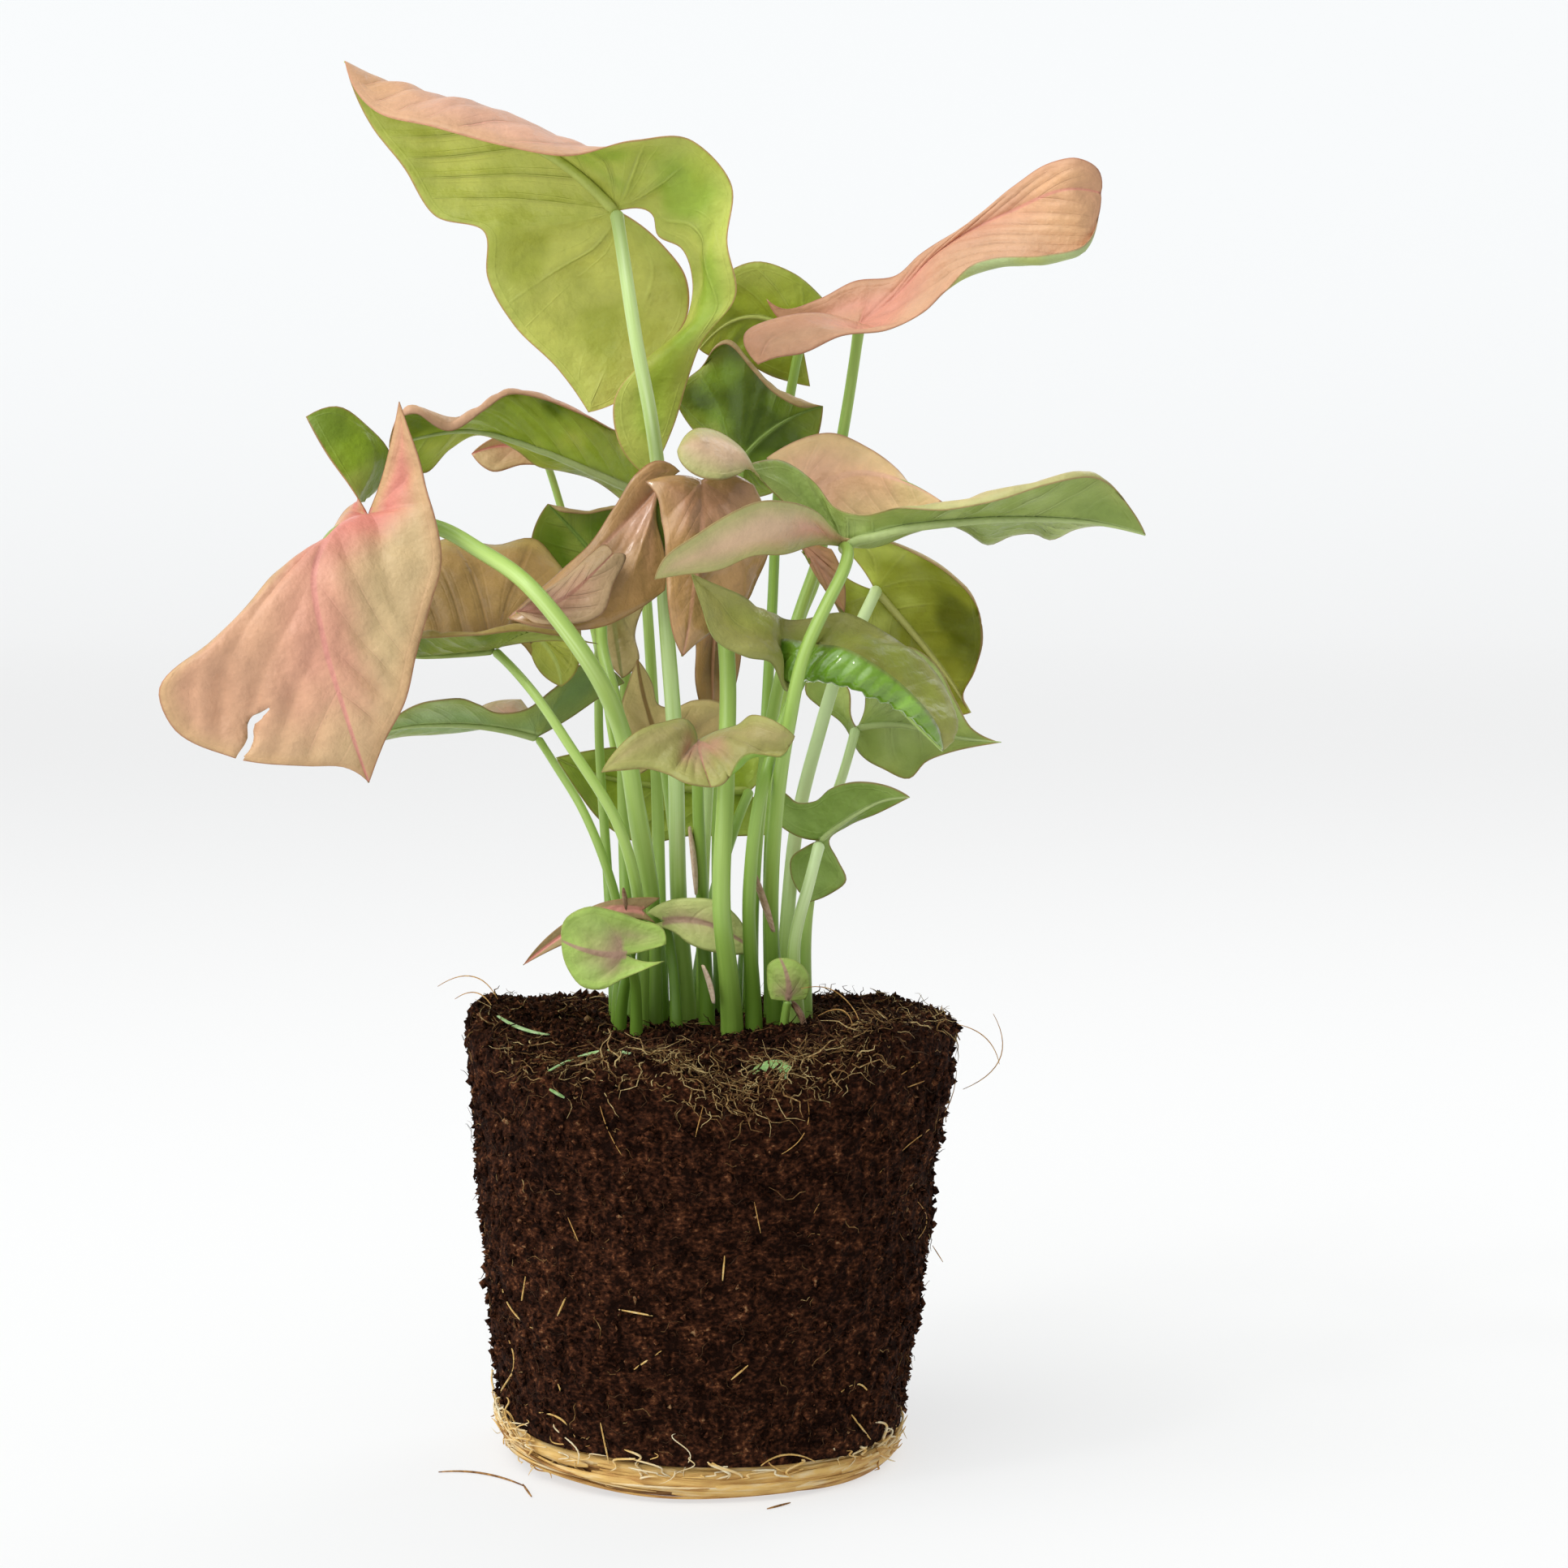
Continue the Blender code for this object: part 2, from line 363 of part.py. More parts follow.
def spline(points, shares):
    """Smooth curve through the points, read at the given shares of its length."""
    if len(points) == 1:
        return np.repeat(points, len(shares), 0)
    if len(points) == 2:
        return points[0] + (points[1] - points[0]) * shares[:, None]
    steps = np.linalg.norm(np.diff(points, axis=0), axis=1)
    knots = np.concatenate([[0], np.cumsum(steps)]) / steps.sum()
    wide = np.diff(knots)
    slope = np.diff(points, axis=0) / wide[:, None]
    turn = np.empty_like(points)
    turn[1:-1] = slope[:-1] * wide[1:, None] + slope[1:] * wide[:-1, None]
    turn[1:-1] /= (wide[1:] + wide[:-1])[:, None]
    turn[0] = 2 * slope[0] - turn[1]
    turn[-1] = 2 * slope[-1] - turn[-2]
    i = np.clip(np.searchsorted(knots, shares, side="right") - 1, 0, len(knots) - 2)
    h = wide[i][:, None]
    u = ((shares - knots[i]) / wide[i])[:, None]
    return ((2 * u**3 - 3 * u**2 + 1) * points[i] + (u**3 - 2 * u**2 + u) * h * turn[i]
            + (3 * u**2 - 2 * u**3) * points[i + 1] + (u**3 - u**2) * h * turn[i + 1])


def rolled(rim, out, up, share, lip, columns):
    """Columns of points for a margin that rolls over along an arc, widest between its start and end."""
    width, angle, start, end = lip
    ease = np.clip(np.minimum(share - start, end - share) / 0.12, 0, 1)
    turn = np.radians(abs(angle))
    radius = (width * ease * ease * (3 - 2 * ease) / turn)[:, None, None]
    u = np.linspace(0, 1, columns + 1)[None, 1:, None] * turn
    side = np.sign(angle) * up[:, None]
    return rim[:, None] + radius * (out[:, None] * np.sin(u) + side * (1 - np.cos(u)))


def half_grid(plan, side, rows, columns, lip_columns):
    """Grid of points from the base line (inner margin, then midrib) out to the margin."""
    part = plan[side]
    rib = placed(plan["rib"])
    edge = placed(part["edge"] + [plan["rib"][-1]])
    inner = np.vstack([edge[:1], placed(part["inner"]), rib[:1]])
    split = part["share"] or length(inner) / (length(inner) + length(rib))
    lobe = np.linspace(0, 1, rows[0] + 1)
    main = np.linspace(0, 1, rows[1] + 1)[1:]
    base = np.vstack([spline(inner, lobe), spline(rib, main)])
    share = np.concatenate([lobe * split, split + main * (1 - split)])
    rim = spline(edge, share)
    across = rim - base
    along = np.gradient((rim + base) / 2, axis=0)
    up = unit(np.cross(across, along)) * (1 if side == "right" else -1)
    near = np.zeros_like(up)
    near[1:] += up[:-1]
    near[:-1] += up[1:]
    up = unit(up + near / 2)
    wide = np.linalg.norm(across, axis=1)[:, None]
    bulge = np.interp(share, np.linspace(0, 1, len(part["bulge"])), part["bulge"])[:, None]
    mid = (base + rim) / 2 + up * wide * bulge
    t = np.linspace(0, 1, columns + 1)[None, :, None]
    grid = (1 - t) ** 2 * base[:, None] + 2 * t * (1 - t) * mid[:, None] + t**2 * rim[:, None]
    if part["ripple"]:
        high, waves, start = part["ripple"]
        swing = np.sin(2 * np.pi * (waves * share + start)) * np.sin(np.pi * share)
        swing *= high * np.minimum(wide[:, 0] / 8, 1)
        grid = grid + (up * swing[:, None])[:, None] * t**2
    if part["lip"]:
        margin = rolled(rim, unit(rim - mid), up, share, part["lip"], lip_columns)
        grid = np.concatenate([grid, margin], 1)
    return grid


def whole(triangles):
    """The triangles whose three corners differ."""
    a, b, c = triangles.T
    return triangles[(a != b) & (b != c) & (a != c)]


def grid_triangles(index):
    """Two triangles for each cell of a grid of point numbers."""
    a, b, c, d = index[:-1, :-1], index[:-1, 1:], index[1:, 1:], index[1:, :-1]
    first = np.stack([a, b, c], -1).reshape(-1, 3)
    second = np.stack([a, c, d], -1).reshape(-1, 3)
    return np.vstack([first, second])


def welded(points, triangles):
    """Join points that fall on the same place, and say where each went."""
    _, first, new = np.unique(np.round(points * 1e4).astype(np.int64), axis=0,
                              return_index=True, return_inverse=True)
    new = new.reshape(-1)
    return points[first], whole(new[triangles]), new


def leaf_sheet(plan):
    """The leaf as one sheet of triangles, and the point where the stalk joins it."""
    small = length(np.array(plan["rib"], float)) < SMALL_LEAF
    rows = (3, 5) if small else (4, 7)
    columns = 2 if small else 3
    right = half_grid(plan, "right", rows, columns, 2)
    left = half_grid(plan, "left", rows, columns, 2)
    numbers = []
    start = 0
    for grid in (right, left):
        index = start + np.arange(grid.shape[0] * grid.shape[1]).reshape(grid.shape[:2])
        index[0] = index[0, 0]
        index[-1] = index[-1, 0]
        numbers.append(index)
        start += grid.shape[0] * grid.shape[1]
    numbers[1][rows[0]:, 0] = numbers[0][rows[0]:, 0]
    numbers[1][-1] = numbers[0][-1, 0]
    triangles = np.vstack([grid_triangles(numbers[0]), grid_triangles(numbers[1])[:, ::-1]])
    points = np.vstack([right.reshape(-1, 3), left.reshape(-1, 3)])
    join = numbers[0][rows[0], 0]
    points, triangles, new = welded(points, whole(triangles))
    return points, triangles, new[join]


def facing(points, triangles):
    """Upward direction at each point, from the triangles around it."""
    a, b, c = points[triangles[:, 0]], points[triangles[:, 1]], points[triangles[:, 2]]
    normal = np.cross(b - a, c - a)
    total = np.zeros_like(points)
    for corner in range(3):
        np.add.at(total, triangles[:, corner], normal)
    return unit(total)


def thick_sheet(points, triangles, up):
    """A closed solid: the sheet, the same triangles below it, and a wall round the margin."""
    count = len(points)
    edges = np.vstack([triangles[:, [0, 1]], triangles[:, [1, 2]], triangles[:, [2, 0]]])
    _, same, uses = np.unique(np.sort(edges, 1), axis=0, return_inverse=True, return_counts=True)
    a, b = edges[uses[same.reshape(-1)] == 1].T
    wall = np.vstack([np.stack([b, a, a + count], 1), np.stack([b, a + count, b + count], 1)])
    half_thick = up * LEAF_THICKNESS / 2
    faces = np.vstack([triangles, triangles[:, ::-1] + count, wall])
    return np.vstack([points + half_thick, points - half_thick]), faces


def soil_height(across, depth):
    """Height of the soil's top at a place."""
    height = np.full(np.shape(across), BALL_HEIGHT, float)
    for x, y, high, spread in SOIL_MOUNDS:
        height = height + high * np.exp(-((across - x) ** 2 + (depth - y) ** 2) / (2 * spread**2))
    return height


def stalk_way(plan, end):
    """Points of a stalk from its foot in the soil to the leaf, and the share that stands upright."""
    x, y = plan["foot"]
    soil = float(soil_height(x, y))
    foot = np.array([[x, y, soil - STALK_DEPTH], [x, y, soil + STALK_STAND]], float)
    way = np.vstack([foot, placed(plan["stalk"])[::-1], end[None]])
    return way, (STALK_DEPTH + STALK_STAND) / length(way)


def stalk_end(plan, join, up):
    """Where the stalk stops, just short of the leaf's underside."""
    x, y = plan["foot"]
    last = placed(plan["stalk"])[0] if plan["stalk"] else np.array([x, y, BALL_HEIGHT + STALK_STAND])
    tilt = np.sqrt(max(0.0, 1 - np.dot(unit(join - last), up) ** 2))
    return join - up * (LEAF_THICKNESS / 2 + LEAF_TO_STALK + plan["thick"][0] * tilt)


def tube(path, radii, sides):
    """A closed tube along a path, its rings carried along without twist."""
    ahead = unit(np.gradient(path, axis=0))
    start = np.array([0.0, 1.0, 0.0]) if abs(ahead[0][1]) < 0.9 else np.array([1.0, 0.0, 0.0])
    x = unit(np.cross(ahead[0], start))
    angle = np.arange(sides)[:, None] * 2 * np.pi / sides
    rings = []
    for place, way, radius in zip(path, ahead, radii):
        x = unit(x - way * np.dot(x, way))
        rings.append(place + radius * (np.cos(angle) * x + np.sin(angle) * np.cross(way, x)))
    index = np.arange(len(path) * sides).reshape(len(path), sides)
    walls = grid_triangles(np.concatenate([index, index[:, :1]], 1))
    low = np.full(sides, len(path) * sides)
    beside = np.roll(index, -1, 1)
    foot = np.stack([low, beside[0], index[0]], 1)
    top = np.stack([low + 1, index[-1], beside[-1]], 1)
    return np.vstack(rings + [path[:1], path[-1:]]), np.vstack([walls, foot, top])


def ball_middle(height):
    """How far the ball's middle has leant at a height."""
    return BALL_LEAN * height / BALL_HEIGHT


def ball_radius(angle, height):
    """The ball's radius: tapered by the pot, lumpy, and fuller at the upper right."""
    share = height / BALL_HEIGHT
    radius = BALL_FOOT_RADIUS + (BALL_TOP_RADIUS - BALL_FOOT_RADIUS) * share
    lumps = 0.6 * np.sin(3 * angle + 0.06 * height) + 0.4 * np.sin(7 * angle - 0.11 * height + 1.3)
    lumps = lumps + 0.3 * np.sin(12 * angle + 0.23 * height + 2.1)
    shoulder = 2.4 * np.exp(-(((height - 87) / 16) ** 2)) * np.maximum(np.cos(angle), 0) ** 3
    return radius + lumps + shoulder


def mat_top(across, depth):
    """Top of the root mat: it rises to the left and towards the rim."""
    return MAT_HEIGHT + MAT_SLOPE * across + 1.5 * (across**2 + depth**2) / BALL_FOOT_RADIUS**2


def turned_solid(rings):
    """A closed solid from rings of points, lowest first, with its end rings drawn to a point."""
    count, around = len(rings), len(rings[0])
    index = np.arange(count * around).reshape(count, around)
    index[0] = index[0, 0]
    index[-1] = index[-1, 0]
    triangles = grid_triangles(np.concatenate([index, index[:, :1]], 1))
    points, triangles, _ = welded(np.vstack(rings), whole(triangles))
    return points, triangles


def ball_solid():
    """The root ball: a lumpy tapered block with an uneven, worn top."""
    angle = np.arange(44) * 2 * np.pi / 44
    x, y = np.cos(angle), np.sin(angle)
    rings = []
    for share in (0, 0.4, 0.75, 1):
        radius = share * (ball_radius(angle, MAT_HEIGHT) - 0.8)
        rings.append(np.stack([radius * x, radius * y, mat_top(radius * x, radius * y) + SEAT_GAP], 1))
    foot = rings[-1][:, 2]
    rim_radius = ball_radius(angle, BALL_HEIGHT)
    middle = ball_middle(BALL_HEIGHT)
    rim = soil_height(middle + rim_radius * x, rim_radius * y) - 2.5
    for share in np.linspace(0.03, 1, 8):
        height = foot + (rim - foot) * share
        radius = ball_radius(angle, height)
        rings.append(np.stack([ball_middle(height) + radius * x, radius * y, height], 1))
    for share in (0.95, 0.82, 0.66, 0.5, 0.3, 0):
        radius = rim_radius * share
        across, depth = middle + radius * x, radius * y
        rings.append(np.stack([across, depth, soil_height(across, depth)], 1))
    return turned_solid(rings)


def mat_solid():
    """The root mat: a shallow dish of coiled roots, flat underneath where the plant rests."""
    angle = np.arange(48) * 2 * np.pi / 48
    x, y = np.cos(angle), np.sin(angle)
    frayed = 1 + 0.012 * np.sin(5 * angle + 0.7) + 0.008 * np.sin(14 * angle)
    climb = 3.0 * np.maximum(-x, 0) ** 2
    rings = []
    for radius, lift in ((0, 0), (REST_RADIUS, 0), (41.5, 0.5), (45, 1.8)):
        around = radius * (frayed if lift else 1)
        rise = lift + climb * max(0.0, (radius - REST_RADIUS) / 9) ** 2 if lift else 0
        rings.append(np.stack([around * x, around * y, 0 * x + rise], 1))
    low = rings[-1][:, 2] + 0.4
    for share, radius in ((0.1, 46.6), (0.3, 46.0), (0.5, 47.0), (0.72, 46.2), (1, 46.4)):
        around = radius * frayed
        high = mat_top(around * x, around * y)
        rings.append(np.stack([around * x, around * y, low + (high - low) * share], 1))
    for radius in (35, 18, 0):
        rings.append(np.stack([radius * x, radius * y, mat_top(radius * x, radius * y)], 1))
    return turned_solid(rings)


def hole_cutters(plans):
    """One prism for each stalk's foot, from the hole's floor to above the soil."""
    angle = np.arange(HOLE_SIDES) * 2 * np.pi / HOLE_SIDES
    points, faces = [], []
    for plan in plans:
        x, y = plan["foot"]
        soil = float(soil_height(x, y))
        radius = (plan["thick"][1] + HOLE_GAP) / np.cos(np.pi / HOLE_SIDES)
        path = np.array([[x, y, soil - STALK_DEPTH - SEAT_GAP], [x, y, soil + STALK_STAND + 8]])
        ring = np.stack([np.cos(angle), np.sin(angle), 0 * angle], 1) * radius
        corner = np.arange(HOLE_SIDES)
        ahead = np.roll(corner, -1)
        low, high = 2 * HOLE_SIDES, 2 * HOLE_SIDES + 1
        prism = np.vstack([
            np.stack([corner, ahead, ahead + HOLE_SIDES], 1),
            np.stack([corner, ahead + HOLE_SIDES, corner + HOLE_SIDES], 1),
            np.stack([0 * corner + low, ahead, corner], 1),
            np.stack([0 * corner + high, corner + HOLE_SIDES, ahead + HOLE_SIDES], 1),
        ])
        faces.append(prism + sum(len(p) for p in points))
        points.append(np.vstack([path[0] + ring, path[1] + ring, path]))
    return np.vstack(points), np.vstack(faces)


def finish(slot):
    """The material of a finish, made the first time it is asked for."""
    material = bpy.data.materials.get(slot)
    if material is None:
        colour, roughness = FINISHES[slot]
        material = bpy.data.materials.new(slot)
        material.use_nodes = True
        shader = material.node_tree.nodes["Principled BSDF"]
        shader.inputs["Base Color"].default_value = (*colour, 1)
        shader.inputs["Roughness"].default_value = roughness
        shader.inputs["Metallic"].default_value = 0
    return material


def solid(name, points, faces, slot=None):
    """An object made of triangles, given in millimetres."""
    mesh = bpy.data.meshes.new(name)
    mesh.from_pydata((points * MM).tolist(), [], faces.tolist())
    mesh.shade_smooth()
    mesh.set_sharp_from_angle(angle=np.radians(50))
    if slot:
        mesh.materials.append(finish(slot))
    piece = bpy.data.objects.new(name, mesh)
    bpy.context.scene.collection.objects.link(piece)
    return piece


def build_leaf(name, plan):
    """One leaf blade and the stalk that carries it."""
    points, triangles, join = leaf_sheet(plan)
    up = facing(points, triangles)
    solid("leaf_" + name, *thick_sheet(points, triangles, up), "leaf_" + plan["tone"])
    way, upright = stalk_way(plan, stalk_end(plan, points[join], up[join]))
    rows = 8 if length(np.array(plan["rib"], float)) < SMALL_LEAF else 12
    shares = np.concatenate([[0], np.linspace(upright, 1, rows)])
    top, foot = plan["thick"]
    radii = foot + (top - foot) * shares
    solid("stalk_" + name, *tube(spline(way, shares), radii, STALK_SIDES), "stalk_green")


def build_roots():
    """The root ball, with a plain hole for each stalk, on its mat of coiled roots."""
    ball = solid("root_ball", *ball_solid(), "peat")
    cutter = solid("hole_cutter", *hole_cutters(LEAVES.values()))
    cutter.hide_render = True
    cutter.display_type = "WIRE"
    holes = ball.modifiers.new("stalk_holes", "BOOLEAN")
    holes.operation = "DIFFERENCE"
    holes.object = cutter
    holes.solver = "EXACT"
    solid("root_mat", *mat_solid(), "roots")


for old in list(bpy.data.objects):
    bpy.data.objects.remove(old)
for leaf_name, leaf_plan in LEAVES.items():
    build_leaf(leaf_name, leaf_plan)
build_roots()
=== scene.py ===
"""Arrowhead plant out of its pot: the finished look of its leaves, stalks, root ball and root mat."""

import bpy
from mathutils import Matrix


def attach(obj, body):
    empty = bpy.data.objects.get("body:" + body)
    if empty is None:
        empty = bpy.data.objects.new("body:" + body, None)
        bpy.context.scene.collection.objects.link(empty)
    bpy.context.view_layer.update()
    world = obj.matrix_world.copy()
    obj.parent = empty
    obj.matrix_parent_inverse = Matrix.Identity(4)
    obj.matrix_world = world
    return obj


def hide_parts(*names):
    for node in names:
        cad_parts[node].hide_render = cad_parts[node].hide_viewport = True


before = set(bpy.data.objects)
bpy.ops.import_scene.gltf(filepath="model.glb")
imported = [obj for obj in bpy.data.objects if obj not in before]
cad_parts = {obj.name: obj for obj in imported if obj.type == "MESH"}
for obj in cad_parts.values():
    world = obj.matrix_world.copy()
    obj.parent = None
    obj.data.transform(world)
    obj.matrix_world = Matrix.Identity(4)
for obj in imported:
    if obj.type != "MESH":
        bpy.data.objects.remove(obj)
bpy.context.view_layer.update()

import bpy
import numpy as np

# The white table and its backdrop
# A pale seamless sheet that runs back from the plant and rises behind it, lit by soft light from all
# sides, with one large softbox at the upper left and a weaker one behind.
SHEET_WIDTH = 7.0
SHEET_FRONT = -3.5
SHEET_BACK = 1.9
SHEET_CURVE = 1.2
SHEET_HEIGHT = 3.0
# The sheet's colours from the plant back to the top of the wall
FLOOR_WHITE = (0.265, 0.265, 0.262)
BEND_WHITE = (0.14, 0.14, 0.14)
WALL_WHITE = (0.27, 0.28, 0.285)
SHEET_GLOW = 0.63
SKY_WHITE = (0.95, 0.975, 0.985)
SKY_DIM = 0.44
SKY_BRIGHT = 2.75
SKY_BRIGHTEST_AT = (-0.56, -0.42, 0.71)
SKY_ZONE = (0.62, 0.97)
EYE = np.array([20.0, -1050.0, 300.0])
LOOK_DOWN = 7.66
LENS = 104.6
# Name, place in metres, size in metres, power in watts
SOFTBOXES = (
    ("key_light", (-1.1, -0.9, 1.9), 0.25, 6),
    ("back_light", (0.9, 1.2, 1.5), 0.8, 7),
)
MM = 0.001


def node(tree, kind, inputs=(), **settings):
    """A shader node with its settings, and its inputs as (socket, value or other node's output)."""
    made = tree.nodes.new(kind)
    for key, value in settings.items():
        setattr(made, key, value)
    for socket, value in inputs:
        if isinstance(value, bpy.types.NodeSocket):
            tree.links.new(value, made.inputs[socket])
        else:
            made.inputs[socket].default_value = value
    return made


def new_material(name, colour, roughness):
    """A material whose plain colour and roughness can be linked over, with its tree and shader."""
    material = bpy.data.materials.new(name)
    material.use_nodes = True
    material.diffuse_color = (*colour, 1)
    shader = material.node_tree.nodes["Principled BSDF"]
    shader.inputs["Base Color"].default_value = (*colour, 1)
    shader.inputs["Roughness"].default_value = roughness
    return material, material.node_tree, shader


def new_mesh(name, points, faces, material, marks=(), uv=None):
    """A smooth mesh from points in millimetres, faces as rows of point numbers, values per point."""
    mesh = bpy.data.meshes.new(name)
    mesh.vertices.add(len(points))
    mesh.vertices.foreach_set("co", (np.asarray(points) * MM).astype(np.float32).ravel())
    mesh.loops.add(faces.size)
    mesh.loops.foreach_set("vertex_index", faces.astype(np.int32).ravel())
    mesh.polygons.add(len(faces))
    mesh.polygons.foreach_set("loop_start", np.arange(len(faces), dtype=np.int32) * faces.shape[1])
    mesh.update(calc_edges=True)
    mesh.shade_smooth()
    for mark, values in marks:
        layer = mesh.attributes.new(mark, "FLOAT", "POINT")
        layer.data.foreach_set("value", np.asarray(values, np.float32))
    if uv is not None:
        layer = mesh.uv_layers.new(name="pattern")
        layer.data.foreach_set("uv", uv[faces.ravel()].astype(np.float32).ravel())
    mesh.materials.append(material)
    piece = bpy.data.objects.new(name, mesh)
    bpy.context.scene.collection.objects.link(piece)
    return piece


def grid_faces(index):
    """Two triangles for each cell of a grid of point numbers."""
    a, b, c, d = index[:-1, :-1], index[:-1, 1:], index[1:, 1:], index[1:, :-1]
    first = np.stack([a, b, c], -1).reshape(-1, 3)
    second = np.stack([a, c, d], -1).reshape(-1, 3)
    return np.vstack([first, second])


def backdrop():
    """The sheet: flat, then a quarter turn, then straight up, as one profile carried sideways."""
    turn = np.linspace(0, np.pi / 2, 24)
    flat = np.stack([np.linspace(SHEET_FRONT, SHEET_BACK, 12), np.zeros(12)], 1)[:-1]
    bend = np.stack([SHEET_BACK + SHEET_CURVE * np.sin(turn), SHEET_CURVE * (1 - np.cos(turn))], 1)
    wall = np.array([[SHEET_BACK + SHEET_CURVE, SHEET_HEIGHT]])
    profile = np.vstack([flat, bend, wall]) / MM
    across = np.linspace(-SHEET_WIDTH / 2, SHEET_WIDTH / 2, 9) / MM
    grid = np.stack([
        np.broadcast_to(across[:, None], (9, len(profile))),
        np.broadcast_to(profile[:, 0], (9, len(profile))),
        np.broadcast_to(profile[:, 1], (9, len(profile))),
    ], -1)
    index = np.arange(9 * len(profile)).reshape(9, -1)
    material, tree, shader = new_material("white_sheet", FLOOR_WHITE, 0.9)
    place = node(tree, "ShaderNodeTexCoord").outputs["Object"]
    back = node(tree, "ShaderNodeSeparateXYZ", [(0, place)]).outputs["Y"]
    share = node(tree, "ShaderNodeMapRange", [(0, back), (1, 0.1), (2, 1.4)],
                 interpolation_type="SMOOTHSTEP").outputs[0]
    blend = node(tree, "ShaderNodeMix", [(0, share), (6, (*FLOOR_WHITE, 1)), (7, (*BEND_WHITE, 1))],
                 data_type="RGBA").outputs[2]
    share = node(tree, "ShaderNodeMapRange", [(0, back), (1, 1.4), (2, SHEET_BACK + SHEET_CURVE)],
                 interpolation_type="SMOOTHSTEP").outputs[0]
    blend = node(tree, "ShaderNodeMix", [(0, share), (6, blend), (7, (*WALL_WHITE, 1))],
                 data_type="RGBA").outputs[2]
    tree.links.new(blend, shader.inputs["Base Color"])
    shader.inputs["Emission Color"].default_value = (1, 1, 1, 1)
    shader.inputs["Emission Strength"].default_value = SHEET_GLOW
    return new_mesh("backdrop", grid.reshape(-1, 3), grid_faces(index)[:, ::-1], material)


def place_camera():
    """A long lens a little above the plant's middle, looking slightly down."""
    data = bpy.data.cameras.new("camera")
    data.lens = LENS
    data.sensor_width = 36
    data.clip_start = 0.05
    camera = bpy.data.objects.new("camera", data)
    camera.location = EYE * MM
    camera.rotation_euler = (np.radians(90 - LOOK_DOWN), 0, 0)
    bpy.context.scene.collection.objects.link(camera)
    bpy.context.scene.camera = camera


def place_softbox(name, place, size, power):
    """A square area light that faces the middle of the plant."""
    data = bpy.data.lights.new(name, "AREA")
    data.size = size
    data.energy = power
    light = bpy.data.objects.new(name, data)
    light.location = place
    aim = np.array([0.0, 0.0, 0.15]) - place
    light.rotation_euler = (np.arccos(-aim[2] / np.linalg.norm(aim)), 0, np.arctan2(-aim[0], aim[1]))
    bpy.context.scene.collection.objects.link(light)


def white_sky():
    """White light from every side, with a wide bright zone at the upper left in front."""
    world = bpy.data.worlds.new("white_sky")
    world.use_nodes = True
    tree = world.node_tree
    light = tree.nodes["Background"]
    light.inputs["Color"].default_value = (*SKY_WHITE, 1)
    way = node(tree, "ShaderNodeTexCoord").outputs["Generated"]
    facing_it = node(tree, "ShaderNodeVectorMath", [(0, way), (1, SKY_BRIGHTEST_AT)],
                     operation="DOT_PRODUCT").outputs["Value"]
    strength = node(tree, "ShaderNodeMapRange", [
        (0, facing_it), (1, SKY_ZONE[0]), (2, SKY_ZONE[1]), (3, SKY_DIM), (4, SKY_BRIGHT),
    ], interpolation_type="SMOOTHSTEP").outputs[0]
    tree.links.new(strength, light.inputs["Strength"])
    bpy.context.scene.world = world


place_camera()
white_sky()
for softbox in SOFTBOXES:
    place_softbox(*softbox)
backdrop()
bpy.context.scene.view_settings.view_transform = "Standard"

# Root mat
# The roots that coiled on the pot's floor: a dish of flattened, straw-coloured strands wound round
# and round, with a few frayed ends. The strands are tubes laid on a closed core of the same shape.
BALL_HEIGHT = 103.0
BALL_TOP_RADIUS = 56.3
BALL_FOOT_RADIUS = 46.5
BALL_LEAN = 2.7
MAT_HEIGHT = 7.2
MAT_SLOPE = -0.045
REST_RADIUS = 36.0
STRAPS = 30
RIM_STRANDS = 42
FLOOR_STRANDS = 34
STRAND_STEPS = 72
LOOSE_ENDS = 150
CLIMBERS = 90
ROOT_STRAW = (0.50, 0.28, 0.09)
ROOT_RAMP = (
    (0.0, (0.12, 0.046, 0.012)),
    (0.3, (0.45, 0.23, 0.065)),
    (0.65, (0.70, 0.45, 0.145)),
    (1.0, (0.78, 0.68, 0.46)),
)


def unit(vectors):
    """The vectors scaled to length 1."""
    return vectors / np.maximum(np.linalg.norm(vectors, axis=-1, keepdims=True), 1e-9)


def noise(points, size, seed):
    """Smooth random values from -1 to 1: random numbers on a lattice of that size, blended between."""
    table = np.random.default_rng(seed).uniform(-1, 1, (32, 32, 32))
    spot = np.asarray(points) / size
    low = np.floor(spot).astype(int)
    part = spot - low
    part = part * part * (3 - 2 * part)
    total = np.zeros(spot.shape[:-1])
    for corner in np.ndindex(2, 2, 2):
        share = np.prod(np.where(corner, part, 1 - part), axis=-1)
        x, y, z = np.moveaxis((low + corner) % 32, -1, 0)
        total += share * table[x, y, z]
    return total


